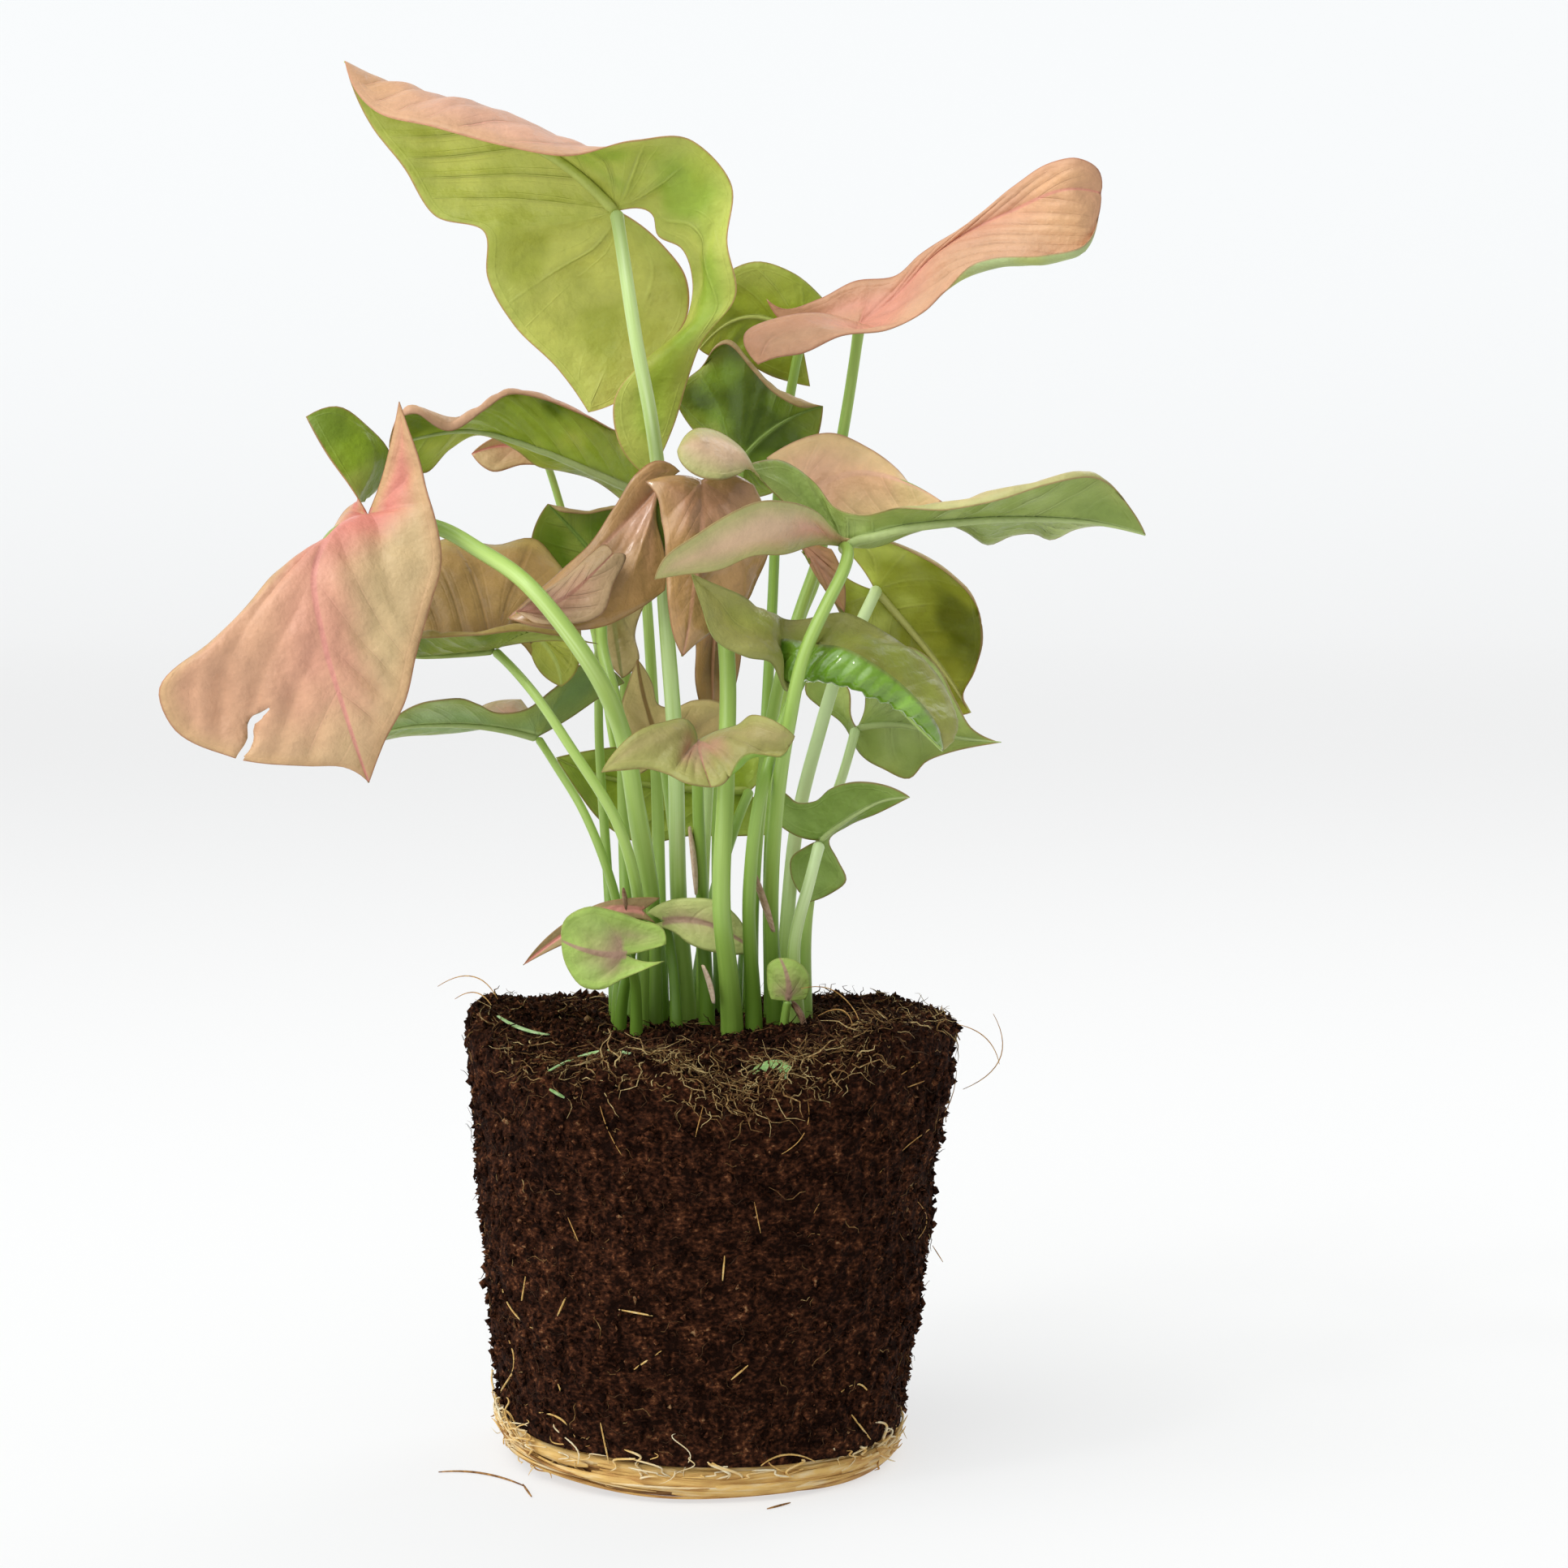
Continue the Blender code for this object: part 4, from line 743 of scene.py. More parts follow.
def half_grid(plan, side, rows, columns):
    """A half as a grid of points from the base line (inner margin, then midrib) out to the margin.

    Each row is an arch from the base line to the margin. Also returns, for each point, the vein fan
    and the gap between its veins, the distances to the midrib and the margin, and the share along.
    """
    part = plan[side]
    rib = placed(plan["rib"])
    edge = placed(part["edge"] + [plan["rib"][-1]])
    inner = np.vstack([edge[:1], placed(part["inner"]), rib[:1]])
    split = part["share"] or length(inner) / (length(inner) + length(rib))
    base = np.vstack([spline(inner, np.linspace(0, 1, rows[0] + 1)),
                      spline(rib, np.linspace(0, 1, rows[1] + 1)[1:])])
    share = np.concatenate([np.linspace(0, split, rows[0] + 1),
                            np.linspace(split, 1, rows[1] + 1)[1:]])
    rim = spline(edge, share)
    across = rim - base
    along = np.gradient((rim + base) / 2, axis=0)
    up = unit(np.cross(across, along)) * (1 if side == "right" else -1)
    up = unit(smooth(up, sum(rows) // 4))
    wide = np.linalg.norm(across, axis=1)
    bulge = np.interp(share, np.linspace(0, 1, len(part["bulge"])), part["bulge"])
    bulge = smooth(bulge, sum(rows) // 6)[:, None]
    mid = (base + rim) / 2 + up * wide[:, None] * bulge
    u = np.linspace(0, 1, columns + 1)
    t = (0.55 * u + 0.45 * u * u)[None, :, None]
    grid = (1 - t) ** 2 * base[:, None] + 2 * t * (1 - t) * mid[:, None] + t**2 * rim[:, None]
    if part["ripple"]:
        high, waves, start = part["ripple"]
        swing = np.sin(2 * np.pi * (waves * share + start)) * np.sin(np.pi * share)
        swing *= high * np.minimum(wide / 8, 1)
        grid = grid + (up * swing[:, None])[:, None] * t**2
    reach = t[0, :, 0]
    past = np.zeros((len(share), len(reach)))
    roll = np.zeros(len(share))
    if part["lip"]:
        turns = max(4, int(part["lip"][0] * 2.5))
        grid = np.concatenate([grid, rolled(rim, unit(rim - mid), up, share, part["lip"], turns)], 1)
        roll = part["lip"][0] * lip_ease(share, part["lip"])
        past = np.concatenate([past, roll[:, None] * np.linspace(0, 1, turns + 1)[None, 1:]], 1)
        reach = np.append(reach, np.ones(turns))
    whole = length(rib) + length(inner)
    ahead = (share - split)[:, None] / (1 - split) * length(rib)
    out = reach * np.maximum(wide, 0.01)[:, None] + past
    lean = plan["sweep"] * out * (0.8 + 0.5 * np.clip(out / max(wide.max(), 1), 0, 1.2))
    fan = (ahead - lean) / plan["spacing"]
    fan = np.where(fan < 0, ahead / np.maximum(lean, 1e-6) - 1, fan)
    back = -(share - split)[:, None] / max(split, 1e-6) * length(inner)
    level = wide[rows[0]]
    turn = np.arctan2(np.maximum(back, 0), np.maximum(reach * level, 0.3)) / (np.pi / 2)
    lobe = (share <= split)[:, None]
    gap = np.where(fan < 0, np.maximum(lean, 0.5), plan["spacing"])
    gap = np.where(lobe, np.hypot(back, out) * (np.pi / 2) / LOBE_VEINS, gap)
    fan = np.where(lobe, -1 - turn * LOBE_VEINS, fan)
    from_rim = np.maximum((1 - reach) * wide[:, None], 0) + roll[:, None] - past
    from_rim = np.minimum(from_rim, np.where(lobe, np.minimum(out, back + out), 99.0))
    from_tip = (1 - share)[:, None] * whole
    from_rim = np.minimum(from_rim, np.maximum(from_tip * 0.5, 0.0))
    from_rib = np.where(lobe, np.hypot(back, out), out)
    marks = dict(fan=fan, gap=gap, from_rib=from_rib, from_rim=from_rim, side_on=out,
                 along=np.broadcast_to((ahead / length(rib)), out.shape))
    return grid, {key: value.reshape(-1) for key, value in marks.items()}


def torn(points, faces, tear):
    """Open a tear along a line seen from EYE: triangles across it go, their corners draw back from it."""
    near = (points[:, 1] - EYE[1]) / -EYE[1]
    seen = EYE[[0, 2]] + (points[:, [0, 2]] - EYE[[0, 2]]) / near[:, None]
    line = spline(np.array(tear, float), np.linspace(0, 1, 90))
    ahead = np.gradient(line, axis=0)
    gaps = np.linalg.norm(seen[:, None] - line[None], axis=-1)
    nearest = gaps.argmin(1)
    away = seen - line[nearest]
    gap = np.maximum(gaps.min(1), 1e-6)
    side = np.sign(ahead[nearest, 0] * away[:, 1] - ahead[nearest, 1] * away[:, 0])
    close = (gap < TEAR_HALF * 3) & (nearest > 0) & (nearest < len(line) - 1)
    crossing = close[faces].all(1) & (np.abs(side[faces].sum(1)) < 3)
    drawn = np.zeros(len(points), bool)
    drawn[faces[crossing]] = True
    half_wide = TEAR_HALF * np.clip(nearest / TEAR_TAPER, 0.1, 1)
    shift = np.where(drawn, half_wide / gap - 1, 0.0)[:, None] * away * near[:, None]
    points = points + np.stack([shift[:, 0], 0 * gap, shift[:, 1]], 1)
    return points, faces[~crossing]


def blade_sheet(plan):
    """The two halves joined at the midrib as one sheet, with its marks and the midrib's point numbers."""
    rib = placed(plan["rib"])
    main = max(8, int(length(rib) / BLADE_CELL))
    grids, marks, numbers = [], [], []
    start = 0
    for side in ("right", "left"):
        part = plan[side]
        edge = placed(part["edge"] + [plan["rib"][-1]])
        inner = np.vstack([edge[:1], placed(part["inner"]), rib[:1]])
        lobe = max(4, int(length(inner) / BLADE_CELL))
        widest = np.linalg.norm(edge[:, None] - np.vstack([inner, rib])[None], axis=-1).min(1).max()
        most = 75 if plan["tear"] else 40
        grid, values = half_grid(plan, side, (lobe, main), int(np.clip(widest / BLADE_CELL, 10, most)))
        index = start + np.arange(grid.shape[0] * grid.shape[1]).reshape(grid.shape[:2])
        index[0] = index[0, 0]
        index[-1] = index[-1, 0]
        start += grid.shape[0] * grid.shape[1]
        values["other_half"] = np.full(grid.shape[0] * grid.shape[1], float(side == "left"))
        grids.append(grid.reshape(-1, 3))
        marks.append(values)
        numbers.append((index, lobe))
    (right, right_lobe), (left, left_lobe) = numbers
    left[left_lobe:, 0] = right[right_lobe:, 0]
    left[-1] = right[-1, 0]
    faces = np.vstack([grid_faces(right), grid_faces(left)[:, ::-1]])
    points = np.vstack(grids)
    values = {key: np.concatenate([m[key] for m in marks]) for key in marks[0]}
    keys = np.round(points * 1e4).astype(np.int64)
    _, first, new = np.unique(keys, axis=0, return_index=True, return_inverse=True)
    new = new.reshape(-1)
    a, b, c = new[faces].T
    faces = new[faces][(a != b) & (b != c) & (a != c)]
    points = points[first]
    if plan["tear"]:
        points, faces = torn(points, faces, plan["tear"])
    used = np.unique(faces)
    order = np.zeros(len(first), int)
    order[used] = np.arange(len(used))
    values = {key: value[first][used] for key, value in values.items()}
    calm = np.clip(plan["spacing"] / np.maximum(values["gap"], 1), 0, 1)
    values["fan"] = values["fan"] + FAN_WANDER * calm * noise(points[used], FAN_SIZE, 54)
    return points[used], order[faces], values, order[new[right[right_lobe:, 0]]]


def facing(points, faces):
    """Upward direction at each point, from the triangles around it."""
    a, b, c = points[faces[:, 0]], points[faces[:, 1]], points[faces[:, 2]]
    normal = np.cross(b - a, c - a)
    total = np.stack([
        np.bincount(faces.ravel(), np.repeat(normal[:, axis], 3), len(points)) for axis in range(3)
    ], 1)
    return unit(total)


def two_skins(points, faces, up, over, below):
    """Close a sheet: a skin lifted by over, one lowered by below, and a wall round every open edge."""
    count = len(points)
    edges = np.vstack([faces[:, [0, 1]], faces[:, [1, 2]], faces[:, [2, 0]]])
    _, same, uses = np.unique(np.sort(edges, 1), axis=0, return_inverse=True, return_counts=True)
    a, b = edges[uses[same.reshape(-1)] == 1].T
    wall = np.vstack([np.stack([b, a, a + count], 1), np.stack([b, a + count, b + count], 1)])
    skins = np.vstack([points + up * over[:, None], points - up * below[:, None]])
    return skins, np.vstack([faces, faces[:, ::-1] + count, wall])


def leaf_group():
    """Shader group for every blade: its colours by side, midrib, veins, margin and tip, with painted shade beside the
    veins and painted shade and light in cloud patches underneath.
    """
    group = bpy.data.node_groups.new("blade_colours", "ShaderNodeTree")
    for name in ("Heart", "Body", "Edge", "Tip", "Rib", "Under", "Under Edge", "Under Vein", "Rim",
                 "Shade", "Light", "Joint", "Other Body", "Other Under"):
        group.interface.new_socket(name, in_out="INPUT", socket_type="NodeSocketColor")
    for name in ("Heart Reach", "Edge Reach", "Tip Start", "Vein Strength", "Blotch", "Patches"):
        group.interface.new_socket(name, in_out="INPUT", socket_type="NodeSocketFloat")
    group.interface.new_socket("Colour", in_out="OUTPUT", socket_type="NodeSocketColor")
    group.interface.new_socket("Roughness", in_out="OUTPUT", socket_type="NodeSocketFloat")
    group.interface.new_socket("Height", in_out="OUTPUT", socket_type="NodeSocketFloat")
    given = group.nodes.new("NodeGroupInput").outputs

    def mixed(factor, first, second):
        return node(group, "ShaderNodeMix", [(0, factor), (6, first), (7, second)],
                    data_type="RGBA").outputs[2]

    def fade(value, full, gone):
        """1 where value is at full, 0 where it is at gone, smooth between."""
        return node(group, "ShaderNodeMapRange", [(0, value), (1, full), (2, gone), (3, 1.0), (4, 0.0)],
                    interpolation_type="SMOOTHSTEP").outputs[0]

    blotch = maths(group, "SUBTRACT", object_noise(group, 70, 4), 0.5)
    grain = maths(group, "SUBTRACT", object_noise(group, 900, 3), 0.5)
    wander = maths(group, "MULTIPLY", blotch, given["Blotch"])
    from_rib, from_rim, under = mark(group, "side_on"), mark(group, "from_rim"), mark(group, "under")
    along = mark(group, "along")
    fan = node(group, "ShaderNodeUVMap", uv_map="pattern").outputs[0]
    fan = node(group, "ShaderNodeSeparateXYZ", [(0, fan)]).outputs
    cloud = object_noise(group, 48, 2)
    turn = maths(group, "ADD", fan["X"], 100.5)
    whole = maths(group, "ABSOLUTE", maths(group, "SUBTRACT", maths(group, "FRACT", turn), 0.5))
    between = maths(group, "ABSOLUTE", maths(group, "SUBTRACT", maths(group, "FRACT", maths(
        group, "MULTIPLY", turn, 2.0)), 0.5))
    main = fade(maths(group, "MULTIPLY", whole, fan["Y"]), 0.06, 0.60)
    minor = fade(maths(group, "MULTIPLY", between, maths(group, "MULTIPLY", fan["Y"], 0.5)), 0.02, 0.35)
    vein = maths(group, "MAXIMUM", main, maths(group, "MULTIPLY", minor, 0.25))
    vein = maths(group, "MULTIPLY", vein, fade(from_rim, 4.0, 0.8))
    plain = maths(group, "MULTIPLY", given["Vein Strength"], fade(cloud, 0.72, 0.36))
    vein = maths(group, "MULTIPLY", vein, plain)
    # Painted shade along the flanks of each vein, fading out about 2.4 mm from it and near the margin.
    flank_shade = maths(group, "MULTIPLY", fade(maths(group, "MULTIPLY", whole, fan["Y"]), 0.3, 2.4), maths(
        group, "MULTIPLY", fade(from_rim, 5.0, 1.0), plain))
    collective = fade(maths(group, "ABSOLUTE", maths(group, "SUBTRACT", from_rim, 2.0)), 0.05, 0.35)
    vein = maths(group, "MAXIMUM", vein, maths(group, "MULTIPLY", collective, 0.12))
    rib_width = maths(group, "MULTIPLY_ADD", along, -0.75, 1.15)
    rib = fade(maths(group, "DIVIDE", from_rib, rib_width), 0.45, 1.2)
    rib = maths(group, "MULTIPLY", rib, maths(group, "GREATER_THAN", along, -0.02))
    spread = maths(group, "ADD", from_rib, maths(group, "MULTIPLY", wander, 14.0))
    other = maths(group, "MULTIPLY", mark(group, "other_half"), fade(spread, 9.0, 1.0))
    upper = mixed(other, given["Body"], given["Other Body"])
    upper = mixed(fade(maths(group, "DIVIDE", spread, given["Heart Reach"]), 0.0, 1.0),
                  upper, given["Heart"])
    joint = maths(group, "SQRT", maths(group, "ADD", maths(group, "POWER", maths(
        group, "MULTIPLY", along, 45.0), 2.0), maths(group, "POWER", from_rib, 2.0)))
    upper = mixed(maths(group, "MULTIPLY", fade(joint, 5.0, 17.0), 0.85), upper, given["Joint"])
    tip = fade(maths(group, "SUBTRACT", maths(group, "ADD", along, maths(
        group, "MULTIPLY", wander, 0.5)), given["Tip Start"]), 0.4, 0.0)
    upper = mixed(tip, upper, given["Tip"])
    near = maths(group, "DIVIDE", maths(group, "ADD", from_rim, maths(
        group, "MULTIPLY", wander, 8.0)), given["Edge Reach"])
    margin = fade(near, 0.0, 1.0)
    upper = mixed(margin, upper, given["Edge"])
    upper = mixed(maths(group, "MULTIPLY", vein, 0.32), upper, given["Rib"])
    upper = mixed(maths(group, "MULTIPLY", rib, 0.9), upper, given["Rib"])
    lower = mixed(other, given["Under"], given["Other Under"])
    lower = mixed(margin, lower, given["Under Edge"])
    dark = maths(group, "MULTIPLY", fade(cloud, 0.36, 0.50), given["Patches"])
    pale = maths(group, "MULTIPLY", fade(cloud, 0.66, 0.52), given["Patches"])
    lower = mixed(dark, lower, given["Shade"])
    lower = mixed(pale, lower, given["Light"])
    lower = mixed(maths(group, "MULTIPLY", vein, 0.4), lower, given["Under Vein"])
    lower = mixed(rib, lower, given["Under Vein"])
    colour = mixed(under, upper, lower)
    colour = mixed(maths(group, "MULTIPLY", fade(from_rim, 0.1, 0.55), 0.6), colour, given["Rim"])
    mottle = maths(group, "SUBTRACT", object_noise(group, 230, 5), 0.5)
    broad = maths(group, "MULTIPLY_ADD", cloud, 0.30, 0.85)
    light = maths(group, "ADD", maths(group, "MULTIPLY_ADD", wander, 0.55, broad),
                  maths(group, "MULTIPLY_ADD", grain, 0.15, maths(group, "MULTIPLY", mottle, 0.25)))
    # The value is lowered by the painted shade beside the veins and raised on the veins themselves, a painted relief.
    light = maths(group, "MULTIPLY_ADD", maths(group, "SUBTRACT", flank_shade, vein), -0.24, light)
    colour = node(group, "ShaderNodeHueSaturation", [("Color", colour), ("Value", light)]).outputs[0]
    crease = object_noise(group, 240, 3)
    height = maths(group, "ADD", maths(group, "MULTIPLY", vein, maths(
        group, "MULTIPLY_ADD", under, 1.6, -0.5)), maths(group, "MULTIPLY", grain, 0.3))
    height = maths(group, "ADD", height, maths(group, "MULTIPLY", crease, 1.6))
    rough = maths(group, "MULTIPLY_ADD", maths(group, "ADD", blotch, grain), 0.25, 0.40)
    node(group, "NodeGroupOutput", [("Colour", colour), ("Roughness", rough), ("Height", height)])
    return group


BLADE_COLOURS = leaf_group()


LOOK_SHARED = dict(heart_reach=9.0, edge_reach=8.0, tip_start=0.55, vein_strength=0.6, blotch=0.5,
                   patches=0.5, shade=(0.10, 0.16, 0.015), light=(0.40, 0.45, 0.10))


def blade_skin(name, look, shine):
    """Living leaf: satin skin with a waxy coat, by side, its colours from the shared group."""
    material, tree, shader = new_material(name, look["under"], 0.42)
    colours = node(tree, "ShaderNodeGroup", node_tree=BLADE_COLOURS)
    same = dict(joint=look["rib"], other_body=look["body"], other_under=look["under"])
    for key, value in {**LOOK_SHARED, **same, **look}.items():
        socket = colours.inputs[key.replace("_", " ").title()]
        socket.default_value = (*value, 1) if isinstance(value, tuple) else value
    tree.links.new(colours.outputs["Colour"], shader.inputs["Base Color"])
    tree.links.new(colours.outputs["Roughness"], shader.inputs["Roughness"])
    bump(tree, shader, colours.outputs["Height"], 0.7, 0.0007)
    shader.inputs["Specular IOR Level"].default_value = 0.22
    coat = maths(tree, "MULTIPLY_ADD", mark(tree, "under"), shine[1] - shine[0], shine[0])
    tree.links.new(coat, shader.inputs["Coat Weight"])
    shader.inputs["Coat Roughness"].default_value = 0.24 - 0.14 * max(shine)
    return material


def midrib(line, up, thick):
    """Tapering round rib along the underside of the blade: its rings sit just below the sheet."""
    share = np.linspace(0, 1, len(line))
    radii = thick * (0.75 * (1 - share) ** 0.8 + 0.15) * np.minimum(1, 0.5 + share * length(line) / thick / 2)
    points, faces, _, share = strands((line - up * (radii + RIB_SINK)[:, None])[None], radii[None], 8)
    return points, faces, share


def build_blade(name, plan, look):
    """A blade: the sheet puffed up between its veins and gently folded, with a rib underneath."""
    points, faces, marks, line = blade_sheet(plan)
    up = facing(points, faces)
    wave = np.abs(np.sin(np.pi * marks["fan"]))
    room = np.clip(marks["from_rim"] / plan["flat_rim"], 0, 1) * np.clip(marks["from_rib"] / 5, 0, 1)
    puff = PUFF * plan["puff"] * (wave - 0.5) * room * np.clip(marks["gap"] / 6, 0, 1.3)
    puff = puff * (1 + (plan["left_puff"] - 1) * marks["other_half"])
    puff = puff * np.clip(0.65 + 0.7 * noise(points, 26.0, 55), 0.1, 1.5)
    broad = np.clip(marks["from_rim"] / 11, 0, 1) * np.clip(marks["from_rib"] / 9, 0, 1)
    crumple = 0.75 * noise(points, 13.0, 51) + 0.30 * noise(points, 5.5, 52) + 0.08 * noise(points, 2.6, 53)
    puff = puff + plan["folds"] * (crumple * room + 1.5 * noise(points, 30.0, 56) * broad)
    points = points + up * puff[:, None]
    up = facing(points, faces)
    thin = np.clip(marks["from_rim"] / 2.5, 0, 1)
    half_thick = (RIM_THICK + (BLADE_THICK - RIM_THICK) * thin) / 2
    front = np.clip(marks["along"], 0, 1)
    on_rib = np.where(marks["along"] >= 0, np.exp(-(marks["side_on"] / (1.1 - 0.6 * front)) ** 2), 0)
    lobe_rib = np.exp(-(np.abs(marks["fan"] + LOBE_RIB) * marks["gap"] / 0.8) ** 2)
    fading = np.exp(-marks["from_rib"] / 16) * np.clip(marks["from_rim"] / 2, 0, 1)
    lobe_rib = lobe_rib * fading * (marks["along"] < 0)
    big = min(1.0, length(placed(plan["rib"])) / 45)
    skins, closed = two_skins(points, faces, up, half_thick - 0.18 * big * on_rib,
                              half_thick + RIB_RIDGE * big * lobe_rib)
    rib_points, rib_faces, rib_share = midrib(points[line], up[line], plan["thick"][0] * big)
    rib_marks = dict(side_on=0, from_rim=9, along=rib_share, fan=0.5, gap=1, other_half=0.5)
    marks = {key: np.concatenate([marks[key], marks[key], rib_marks[key] + 0 * rib_share]) for key in rib_marks}
    under = np.repeat([0.0, 1.0, 1.0], [len(points), len(points), len(rib_points)])
    layers = [(key, marks[key]) for key in ("side_on", "from_rim", "along", "other_half")]
    layers.append(("under", under))
    material = blade_skin("skin_" + name, look, plan["shine"])
    piece = new_mesh("blade_" + name, np.vstack([skins, rib_points]), np.vstack([closed, rib_faces + len(skins)]),
                     material, layers, np.stack([marks["fan"], marks["gap"]], 1))
    return piece, points[line[0]], up[line[0]]


STEM_RAMP = (
    (0.0, (0.14, 0.26, 0.025)),
    (0.4, (0.30, 0.47, 0.08)),
    (0.7, (0.44, 0.61, 0.15)),
    (1.0, (0.70, 0.86, 0.44)),
)


def stem_skin():
    """Smooth juicy stalk: pale and mid green in long faint streaks, with a soft shine."""
    material, tree, shader = new_material("stalk_skin", STEM_RAMP[1][1], 0.36)
    around = node(tree, "ShaderNodeUVMap", uv_map="pattern").outputs[0]
    around = node(tree, "ShaderNodeMapping", [("Vector", around), ("Scale", (5.0, 0.012, 1.0))]).outputs[0]
    streak = node(tree, "ShaderNodeTexNoise", [("Vector", around), ("Scale", 1.0), ("Detail", 3.0)])
    tone = maths(tree, "ADD", mark(tree, "tone"), maths(
        tree, "MULTIPLY_ADD", streak.outputs["Fac"], 1.1, -0.55))
    tree.links.new(ramp(tree, tone, STEM_RAMP), shader.inputs["Base Color"])
    bump(tree, shader, streak.outputs["Fac"], 0.15, 0.0006)
    return material


STALK_SKIN = stem_skin()


def build_stem(name, plan, join, up):
    """A stalk from its foot in the soil up to the blade: a tapering tube with a sheath at its foot."""
    x, y = plan["foot"]
    soil = float(soil_height(x, y))
    top, foot = plan["thick"]
    ends = np.array([[x, y, soil - STALK_DEPTH], [x, y, soil + STALK_STAND]], float)
    way = np.vstack([ends, placed(plan["stalk"])[::-1], (join - up * 0.75 * top)[None]])
    steps = max(12, int(length(way) / STEM_STEP))
    left = top * STEM_END
    run = np.append(np.linspace(0, length(way) - 1.5 * top, steps), length(way) - left)
    left = length(way) - run
    shares = run / length(way)
    path = spline(way, shares)
    sheath = np.clip(1 - (run - STALK_DEPTH) / SHEATH_LENGTH, 0, 1)
    radii = (foot + (top - foot) * shares) * (1 + SHEATH_GROWTH * sheath**1.5)
    radii = radii * (1 + 0.18 * np.exp(-left / (1.5 * top)))
    radii = radii * np.sqrt(1 - (1 - np.clip(left / top, 0.02, 1)) ** 2)
    points, faces, _, _ = strands(path[None], radii[None], STEM_SIDES)
    share = np.append(np.repeat(shares, STEM_SIDES), [0, 1])
    # Painted shade: each stalk is darker over its lowest 45 mm above the soil, where the stalks crowd together.
    dark = 0.34 * np.clip(1 - (share * length(way) - STALK_DEPTH) / 45, 0, 1)
    tone = plan["tint"] + 0.12 * share - dark
    around = np.append(np.tile(np.arange(STEM_SIDES) / STEM_SIDES, len(run)), [0.5, 0.5])
    piece = new_mesh("stem_" + name, points, faces, STALK_SKIN, [("tone", tone)],
                     np.stack([np.abs(around - 0.5), share * length(way)], 1))
    return piece


def leaf(name, tone, rib, right, left, foot, stalk, thick, look, spacing=VEIN_SPACING,
         sweep=VEIN_SWEEP, puff=1.0, left_puff=1.0, folds=1.0, tint=0.5, shine=(0.05, 0.05), tear=None,
         flat_rim=5.0):
    """Build one leaf with its stalk, in place of their plain solids. Without a foot it is a loose fold."""
    plan = dict(rib=rib, right=right, left=left, foot=foot, stalk=stalk, thick=thick, tear=tear,
                flat_rim=flat_rim, spacing=spacing, sweep=sweep, puff=puff, left_puff=left_puff,
                folds=folds, tint=tint, shine=shine)
    blade, join, up = build_blade(name, plan, look)
    if foot is None:
        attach(blade, "root")
        return
    stem = build_stem(name, plan, join, up)
    for piece, solid, slot in ((blade, "leaf_", "leaf_" + tone), (stem, "stalk_", "stalk_green")):
        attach(piece, "root")
        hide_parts(solid + name)


# The leaves
# Young leaves open salmon pink with a rose midrib, and turn tan, olive and green with age, while
# their undersides stay green. Each is entered by its midrib, halves and stalk, from the top down.
ROSE = dict(vein_strength=0.45, heart=(0.69, 0.355, 0.26), body=(0.60, 0.37, 0.235), edge=(0.58, 0.41, 0.20),
            tip=(0.69, 0.47, 0.25), rib=(0.74, 0.31, 0.25), under=(0.20, 0.29, 0.015),
            under_edge=(0.25, 0.34, 0.03), under_vein=(0.34, 0.42, 0.12), rim=(0.42, 0.16, 0.10),
            heart_reach=16.0)
SALMON = dict(ROSE, heart=(0.63, 0.32, 0.20), body=(0.62, 0.36, 0.21), edge=(0.60, 0.33, 0.19),
              tip=(0.70, 0.41, 0.20), rib=(0.68, 0.30, 0.21), heart_reach=9.0)
BLUSH_TAN = dict(ROSE, heart=(0.70, 0.41, 0.23), body=(0.64, 0.43, 0.23), edge=(0.70, 0.48, 0.24),
                 tip=(0.48, 0.45, 0.17), rib=(0.66, 0.38, 0.24), heart_reach=8.0)
COPPER = dict(ROSE, heart=(0.36, 0.19, 0.07), body=(0.48, 0.27, 0.11), edge=(0.45, 0.25, 0.095),
              tip=(0.44, 0.26, 0.11), rib=(0.52, 0.26, 0.15), under=(0.20, 0.24, 0.03),
              rim=(0.26, 0.11, 0.05), heart_reach=8.0, blotch=1.1, vein_strength=0.2)
TAN = dict(ROSE, heart=(0.44, 0.36, 0.12), body=(0.40, 0.24, 0.085), edge=(0.44, 0.31, 0.10),
           tip=(0.42, 0.28, 0.10), rib=(0.26, 0.14, 0.05), rim=(0.26, 0.13, 0.05), heart_reach=5.0,
           under=(0.23, 0.29, 0.04), under_edge=(0.28, 0.32, 0.05), blotch=0.8)
SPRIG = dict(ROSE, heart=(0.62, 0.40, 0.24), body=(0.50, 0.34, 0.18), under=(0.28, 0.42, 0.12))
GOLD_UNDER = dict(ROSE, body=(0.66, 0.37, 0.25), edge=(0.62, 0.355, 0.20), tip=(0.63, 0.36, 0.18),
                  under=(0.56, 0.58, 0.12), under_edge=(0.50, 0.54, 0.11),
                  under_vein=(0.54, 0.60, 0.15), rim=(0.58, 0.24, 0.14), vein_strength=0.8,
                  shade=(0.35, 0.40, 0.03), light=(0.66, 0.66, 0.15))
LIME = dict(ROSE, heart=(0.36, 0.36, 0.08), body=(0.26, 0.32, 0.05), edge=(0.30, 0.34, 0.07),
            tip=(0.24, 0.30, 0.05), rib=(0.40, 0.44, 0.13), under=(0.29, 0.36, 0.025),
            under_edge=(0.30, 0.36, 0.035), under_vein=(0.44, 0.50, 0.12), rim=(0.32, 0.18, 0.06),
            shade=(0.14, 0.20, 0.01))
MID_GREEN = dict(ROSE, heart=(0.62, 0.40, 0.25), body=(0.66, 0.45, 0.29), edge=(0.52, 0.39, 0.18),
                 tip=(0.60, 0.40, 0.22), under=(0.31, 0.40, 0.10), under_edge=(0.35, 0.42, 0.11),
                 under_vein=(0.46, 0.56, 0.22), rim=(0.34, 0.18, 0.08), shade=(0.18, 0.27, 0.05),
                 light=(0.47, 0.55, 0.22))
